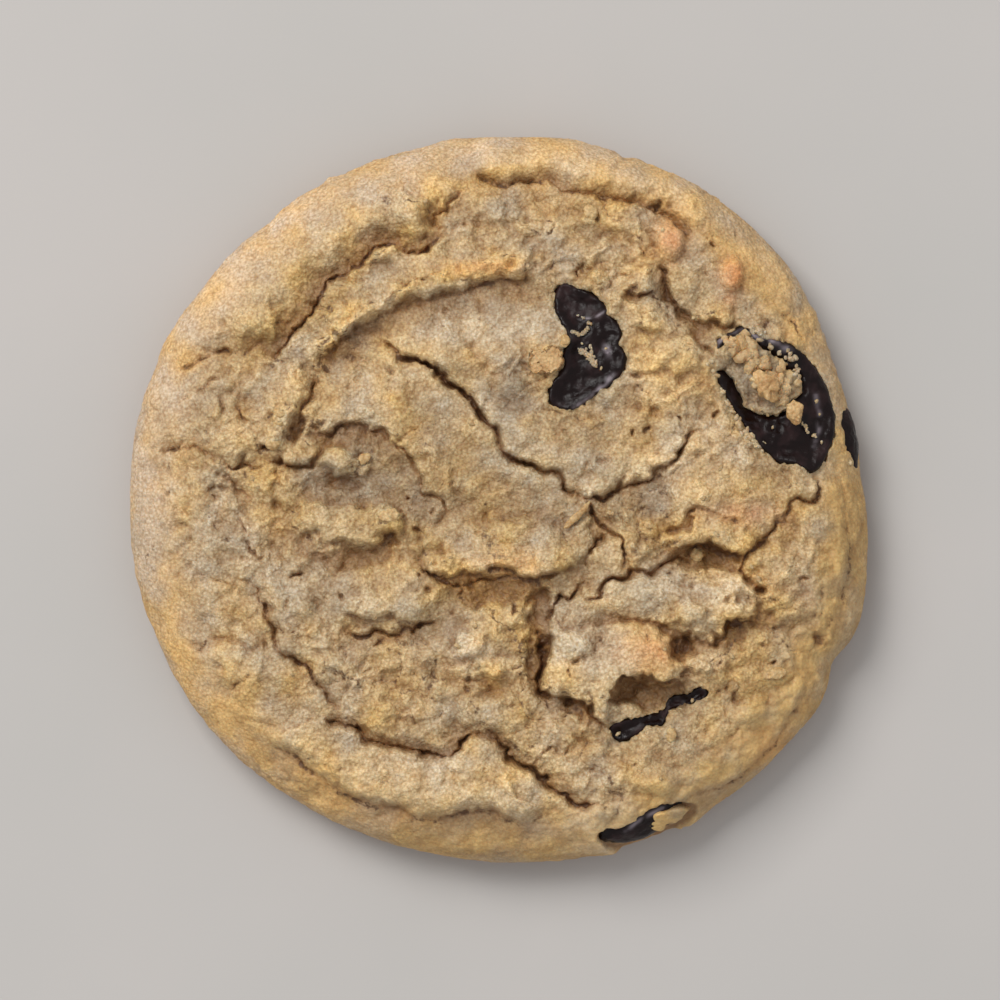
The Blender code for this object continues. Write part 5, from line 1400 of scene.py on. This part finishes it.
chunks = {name: add_piece(name + "_slab", build_chunk(name, outline), [name])
          for name, outline in CHUNKS.items()}

# %% Chunks in the side wall: (middle, half sizes along, up and through, bearing, lean)
SIDE_CHUNKS = {
    "chocolate_side": ((41.6, 7.2, 5.3), (5.0, 2.2, 2.0), 9.5, 20.0),
    "chocolate_rim": ((16.9, -37.9, 6.8), (6.6, 3.5, 2.9), -66.5, 46.0),
}


def build_side_chunk(name, middle, half, bearing, lean):
    """A flattened lump of chocolate that leans back with the wall, its skin uneven."""
    shape = bmesh.new()
    bmesh.ops.create_icosphere(shape, subdivisions=6, radius=1.0)
    a, b = math.radians(bearing), math.radians(lean)
    outward = Vector((math.cos(a) * math.cos(b), math.sin(a) * math.cos(b), math.sin(b)))
    along = Vector((-math.sin(a), math.cos(a), 0.0))
    axes = np.array((along, outward.cross(along), outward))
    ball = np.array([v.co for v in shape.verts])
    u, v = ball[:, 0] * half[0], ball[:, 1] * half[1]
    swell = 1.0 + 0.05 * swells(u + 31.0, v, 2.0, 90, 3) - 0.03 * np.abs(ripple(u, v, 0.9, 95))
    place = (ball * half * swell[:, None]) @ axes + middle - (*MIDDLE, 0.0)
    for vertex, spot in zip(shape.verts, place):
        vertex.co = Vector(spot) * MM
    mesh = mesh_from(shape, name + "_lump")
    store_masks(mesh, {"bloom": bloom_and_highlight_of(place[:, :2] + MIDDLE)})
    return mesh


for name, spec in SIDE_CHUNKS.items():
    chunks[name] = add_piece(name + "_lump", build_side_chunk(name, *spec), [name])


# %% The chocolate's finish
def make_chocolate_finish():
    """Near-black chocolate, half glossy, with a faint grey bloom in patches and pale streaks of
    painted highlight and bloom.
    """
    made, tree, shader = new_material("dark chocolate", 0.36, 0.2)
    place = put(tree, "TexCoord").outputs["Object"]
    wrinkle = put(tree, "TexNoise", {"Vector": place, "Scale": 1500.0, "Detail": 4.0,
                                     "Roughness": 0.6, "Distortion": 0.6}).outputs["Fac"]
    patch = put(tree, "TexNoise", {"Vector": place, "Scale": 420.0, "Detail": 3.0}).outputs["Fac"]
    bloom = ramp(tree, patch, 0.5, 0.75)
    colour = mixed(tree, bloom, rgb(18, 5, 4), rgb(46, 28, 28))
    # painted highlight: the bloom mask's pale streaks partly stand in for the lamp's reflection on the
    # chunks' edges
    colour = mixed(tree, share_of_mask(tree, "bloom", 0.8), colour, rgb(160, 148, 154))
    tree.links.new(colour, shader.inputs["Base Color"])
    rough = put(tree, "MapRange", {"Value": patch, "From Min": 0.35, "From Max": 0.7,
                                   "To Min": 0.22, "To Max": 0.5}).outputs[0]
    tree.links.new(rough, shader.inputs["Roughness"])
    bump = put(tree, "Bump", {"Height": wrinkle, "Strength": 0.5, "Distance": 0.00025})
    tree.links.new(bump.outputs[0], shader.inputs["Normal"])
    return made


CHOCOLATE_FINISH = make_chocolate_finish()
for piece in chunks.values():
    piece.data.materials.append(CHOCOLATE_FINISH)
print(CHOCOLATE_FINISH.name, "covers", len(chunks), "chunks")

# %% [markdown]
# ## Loose crumbs
# Crumbs cling to the broken edges of the folds, and lines and heaps of them lie on the
# chocolate. Each is a small lumpy ball, and all of them are joined in one piece. Some land
# where the crust has a sharp crest, picked with a fixed seed, and the others follow trails, as
# hundreds are too many to place by hand. The larger bits of dough, called blobs here, are
# placed one by one.

# %% Crumbs on the chocolate (x, y, size), blobs and trails
CRUMBS_ON_CHOCOLATE = (
    (9.9, 18.9, 0.12), (12.8, 18.3, 0.16), (12.2, 15.9, 0.14), (11, 21.3, 0.14), (31.9, 6.8, 0.2),
    (38.4, 12, 0.16), (38.8, 10.4, 0.14), (37, 8.9, 0.16), (39, 7, 0.12), (33, 8.8, 0.12),
    (14.3, -28.3, 0.2), (23.3, -24.3, 0.2), (42.6, 4.5, 0.25), (16, -40.6, 0.2), (17.2, -39.7, 0.16),
    (15, -41, 0.14), (18.4, -40.5, 0.12))
EDGE_CRUMBS = 120
BLOBS = (  # x, y, half length, half width, turn, height over the crust, how toasted
    (5.6, 16.8, 1.95, 1.5, 15, 0.65, 0.14), (35.8, 10.4, 1, 1.35, 10, 0.25, 0.1),
    (32.2, 14, 2, 1.25, -52, 0.45, 0.12), (7.8, 19.3, 0.55, 0.75, 0, 0.2, 0),
    (-26.6, 10.4, 0.75, 0.65, 0, 0.1, 0), (-26.7, 9.3, 0.65, 0.7, 0, 0.1, 0),
    (-27.4, 6.9, 0.9, 0.8, 0, 0.1, 0), (23.9, -6.7, 0.8, 0.7, 0, 0, 0),
    (17.9, -3, 0.5, 0.45, 0, 0.2, 0), (10.8, 34.6, 0.9, 1, 0, 0, 0),
    (20.6, -28.3, 0.7, 0.8, 0, 0.1, 0), (9.3, -1.9, 2.1, 0.42, 48, 0.6, 0),
    (-13.4, -1.9, 1.1, 0.8, 20, 0.1, 0), (-16.4, 5, 0.8, 0.6, 30, 0.1, 0),
    (33.2, -21, 1.2, 0.7, 15, 0.1, 0), (12.2, 27, 1, 0.8, 0, 0, 0))
TRAILS = (  # half width, how many, least and most size, warm, pale, lift, route
    (0.2, 34, 0.1, 0.24, 0, 0.3, 0, ((8.8, 20.3), (9.7, 20), (10.4, 20.5), (10.7, 21.4))),
    (0.35, 40, 0.1, 0.27, 0, 0.3, 0, ((9.7, 18.3), (10.6, 17.5), (11.7, 16.3))),
    (0.15, 12, 0.1, 0.22, 0, 0.3, 0, ((10.9, 18.6), (11.1, 17.3))),
    (0.1, 6, 0.08, 0.16, 0, 0.3, 0, ((9.5, 22.3), (10.1, 22))),
    (1.7, 90, 0.3, 0.75, 0.55, 0.85, 0.1, ((27.6, 19.4), (30, 17.6), (32, 15), (34.2, 13.2))),
    (0.8, 30, 0.15, 0.42, 0.1, 0.5, 0, ((30.5, 20.6), (33.6, 18.8), (35.6, 16.8), (36.2, 14.2))),
    (0.15, 12, 0.1, 0.22, 0.2, 1, 0, ((36.7, 9.3), (37.4, 8.2), (38.4, 7.7))),
    (0.45, 18, 0.12, 0.35, 0.1, 0.95, 0, ((29.6, 8.2), (30.6, 6.9), (32.2, 6))),
    (0.35, 30, 0.15, 0.4, 0.3, 0.85, 0, ((25.3, 16.8), (27.2, 12.6), (29, 9.4), (31.4, 6.4))),
    (0.3, 14, 0.12, 0.3, 0.1, 0.9, 0, ((15.2, -40.8), (17, -40), (18.6, -40.6))),
)
print(len(BLOBS), "blobs and", len(TRAILS), "trails of crumbs")

# %% Building the blobs
def build_blobs():
    """Soft rounded bits of dough, half sunk in what they lie on."""
    shape = bmesh.new()
    xy = np.array([blob[:2] for blob in BLOBS])
    ground = dome_height(share_of(xy)) + read_map(bare_form, xy)
    for (x, y, half_length, half_width, degrees, lift, _), level in zip(BLOBS, ground):
        ball = bmesh.ops.create_icosphere(shape, subdivisions=4, radius=1.0)["verts"]
        turned = math.radians(degrees)
        co = np.array([v.co for v in ball])
        u, v = co[:, 0] * half_length, co[:, 1] * half_width
        x0 = x + u * math.cos(turned) - v * math.sin(turned)
        y0 = y + u * math.sin(turned) + v * math.cos(turned)
        tall = 0.7 * min(half_length, half_width)
        z = co[:, 2]
        stray = 1.0 + 0.3 * ripple(x0 + z, y0, 0.9, 97) + 0.22 * ripple(x0, y0 + z, 0.4, 98)
        z0 = level + lift + tall * z * stray
        x0, y0 = x + (x0 - x) * stray, y + (y0 - y) * stray
        for vertex, spot in zip(ball, np.column_stack([x0, y0, np.minimum(z0, TOP_LIMIT)])):
            vertex.co = (Vector(spot) - Vector((*MIDDLE, 0.0))) * MM
    mesh = mesh_from(shape, "blobs")
    browned = np.repeat([blob[6] for blob in BLOBS], len(mesh.vertices) // len(BLOBS))
    even = np.ones(len(browned))
    store_masks(mesh, {"warm": 0.72 * even, "pale": 0.8 * even, "toast": browned,
                       "grainy": 0.8 * even})
    return mesh


# %% Building the crumbs
def build_crumbs():
    """All the crumbs, as copies of a lumpy ball, each with its own size, squash and turn."""
    dice = np.random.default_rng(7)
    spots = dice.uniform(-40.0, 40.0, (60000, 2))
    spots = spots[share_of(spots) < 0.93]
    crest = read_map(crust_map, spots) - read_map(near_level, spots)
    weight = np.clip(crest - 0.12, 0.0, 0.5) * crumbliness(spots) * (1.0 - in_chunks(spots))
    chosen = dice.choice(len(spots), EDGE_CRUMBS, replace=False, p=weight / weight.sum())
    listed = [(x, y, dice.uniform(0.12, 0.34), 0.55, 0.65, 0.0) for x, y in spots[chosen]]
    listed += [(x, y, 1.25 * size, 0.3, 0.8, 0.0) for x, y, size in CRUMBS_ON_CHOCOLATE]
    for half_width, count, least, most, warm, pale, lift, route in TRAILS:
        points = smooth_route(route)
        picked = dice.integers(0, len(points), count)
        beside = np.clip(dice.normal(0.0, 0.5 * half_width, (count, 2)), -half_width, half_width)
        for (x, y), size in zip(points[picked] + beside, dice.uniform(least, most, count)):
            listed.append((x, y, size, warm + dice.uniform(-0.1, 0.1), pale, lift))
    xy = np.array([crumb[:2] for crumb in listed])
    ground = dome_height(share_of(xy)) + read_map(crust_map, xy)
    chocolate = (base_height(xy) + 0.05) * in_chunks(xy, 0.1)
    shape = bmesh.new()
    for (x, y, size, _, _, lift), dough_top, chocolate_top in zip(listed, ground, chocolate):
        ball = bmesh.ops.create_icosphere(shape, subdivisions=2, radius=size)["verts"]
        for vertex in ball:
            vertex.co *= 1.0 + dice.uniform(-0.28, 0.28)
        bmesh.ops.scale(shape, vec=(dice.uniform(0.8, 1.8), dice.uniform(0.7, 1.1), 0.5), verts=ball)
        turned = dice.uniform(0.0, math.pi)
        top = min(max(dough_top, chocolate_top) + lift * size, TOP_LIMIT - size)
        for vertex in ball:
            x0, y0, z0 = vertex.co
            vertex.co = Vector((x + x0 * math.cos(turned) - y0 * math.sin(turned) - MIDDLE[0],
                                y + x0 * math.sin(turned) + y0 * math.cos(turned) - MIDDLE[1],
                                top + z0)) * MM
    mesh = mesh_from(shape, "crumbs")
    looks = [crumb[3:5] for crumb in listed]
    warm, pale = np.repeat(looks, len(mesh.vertices) // len(listed), axis=0).T
    store_masks(mesh, {"warm": np.clip(warm, 0.0, 1.0), "pale": pale, "grainy": 0.7 + 0.0 * warm})
    return mesh


crumbs = add_piece("crumbs", build_crumbs())
blobs = add_piece("blobs", build_blobs())
for piece in (crumbs, blobs):
    piece.data.materials.append(DOUGH_FINISH)

# %% [markdown]
# ## Floor, light and camera
# The cookie lies on a plain pale floor. One large soft lamp stands high behind it and a little
# to the left, like a window, and the sky fills the shadows. The camera looks straight down
# through a long lens, so that the sides hardly lean outwards.

# %% Floor
def make_floor():
    """A wide flat floor, pale grey with the faintest mottling."""
    shape = bmesh.new()
    bmesh.ops.create_grid(shape, x_segments=2, y_segments=2, size=1.5)
    bmesh.ops.translate(shape, vec=(0.0, 0.0, -0.0001), verts=shape.verts)
    mesh = mesh_from(shape, "floor")
    made = bpy.data.objects.new("floor", mesh)
    bpy.context.scene.collection.objects.link(made)
    finish, tree, shader = new_material("pale floor", 0.6, 0.3)
    place = put(tree, "TexCoord").outputs["Object"]
    cloud = put(tree, "TexNoise", {"Vector": place, "Scale": 14.0, "Detail": 4.0}).outputs["Fac"]
    colour = mixed(tree, ramp(tree, cloud, 0.35, 0.7), rgb(180, 177, 173), rgb(186, 181, 177))
    tree.links.new(colour, shader.inputs["Base Color"])
    mesh.materials.append(finish)


make_floor()
print("the floor is made")

# %% Light and camera
FRAME_WIDTH = 0.1218  # of the view at the cookie's height, in metres
LENS = 250.0
MIDDLE_HEIGHT = 0.006  # of the cookie, in metres


def add_lamp(name, place, size, energy, colour):
    """A square soft lamp that faces the cookie."""
    data = bpy.data.lights.new(name, "AREA")
    data.size, data.energy, data.color = size, energy, colour
    made = bpy.data.objects.new(name, data)
    made.location = place
    made.rotation_euler = (-Vector(place)).to_track_quat("-Z", "Y").to_euler()
    bpy.context.scene.collection.objects.link(made)


def light_and_camera():
    """The lamps, the sky and the camera."""
    add_lamp("window", (-0.85, 1.05, 1.5), 1.1, 33.5, (1.0, 0.988, 0.972))
    sky = bpy.data.worlds.new("sky")
    sky.use_nodes = True
    sky.node_tree.nodes["Background"].inputs["Color"].default_value = (0.97, 0.98, 1.0, 1.0)
    sky.node_tree.nodes["Background"].inputs["Strength"].default_value = 0.6
    bpy.context.scene.world = sky
    data = bpy.data.cameras.new("camera")
    data.lens = LENS
    camera = bpy.data.objects.new("camera", data)
    distance = FRAME_WIDTH * LENS / data.sensor_width
    camera.location = (-MIDDLE[0] * MM, -MIDDLE[1] * MM, distance + MIDDLE_HEIGHT)
    data.clip_end = 10.0
    bpy.context.scene.collection.objects.link(camera)
    bpy.context.scene.camera = camera
    bpy.context.scene.view_settings.view_transform = "Standard"


light_and_camera()
print("the view is", FRAME_WIDTH, "m wide at the cookie's height")
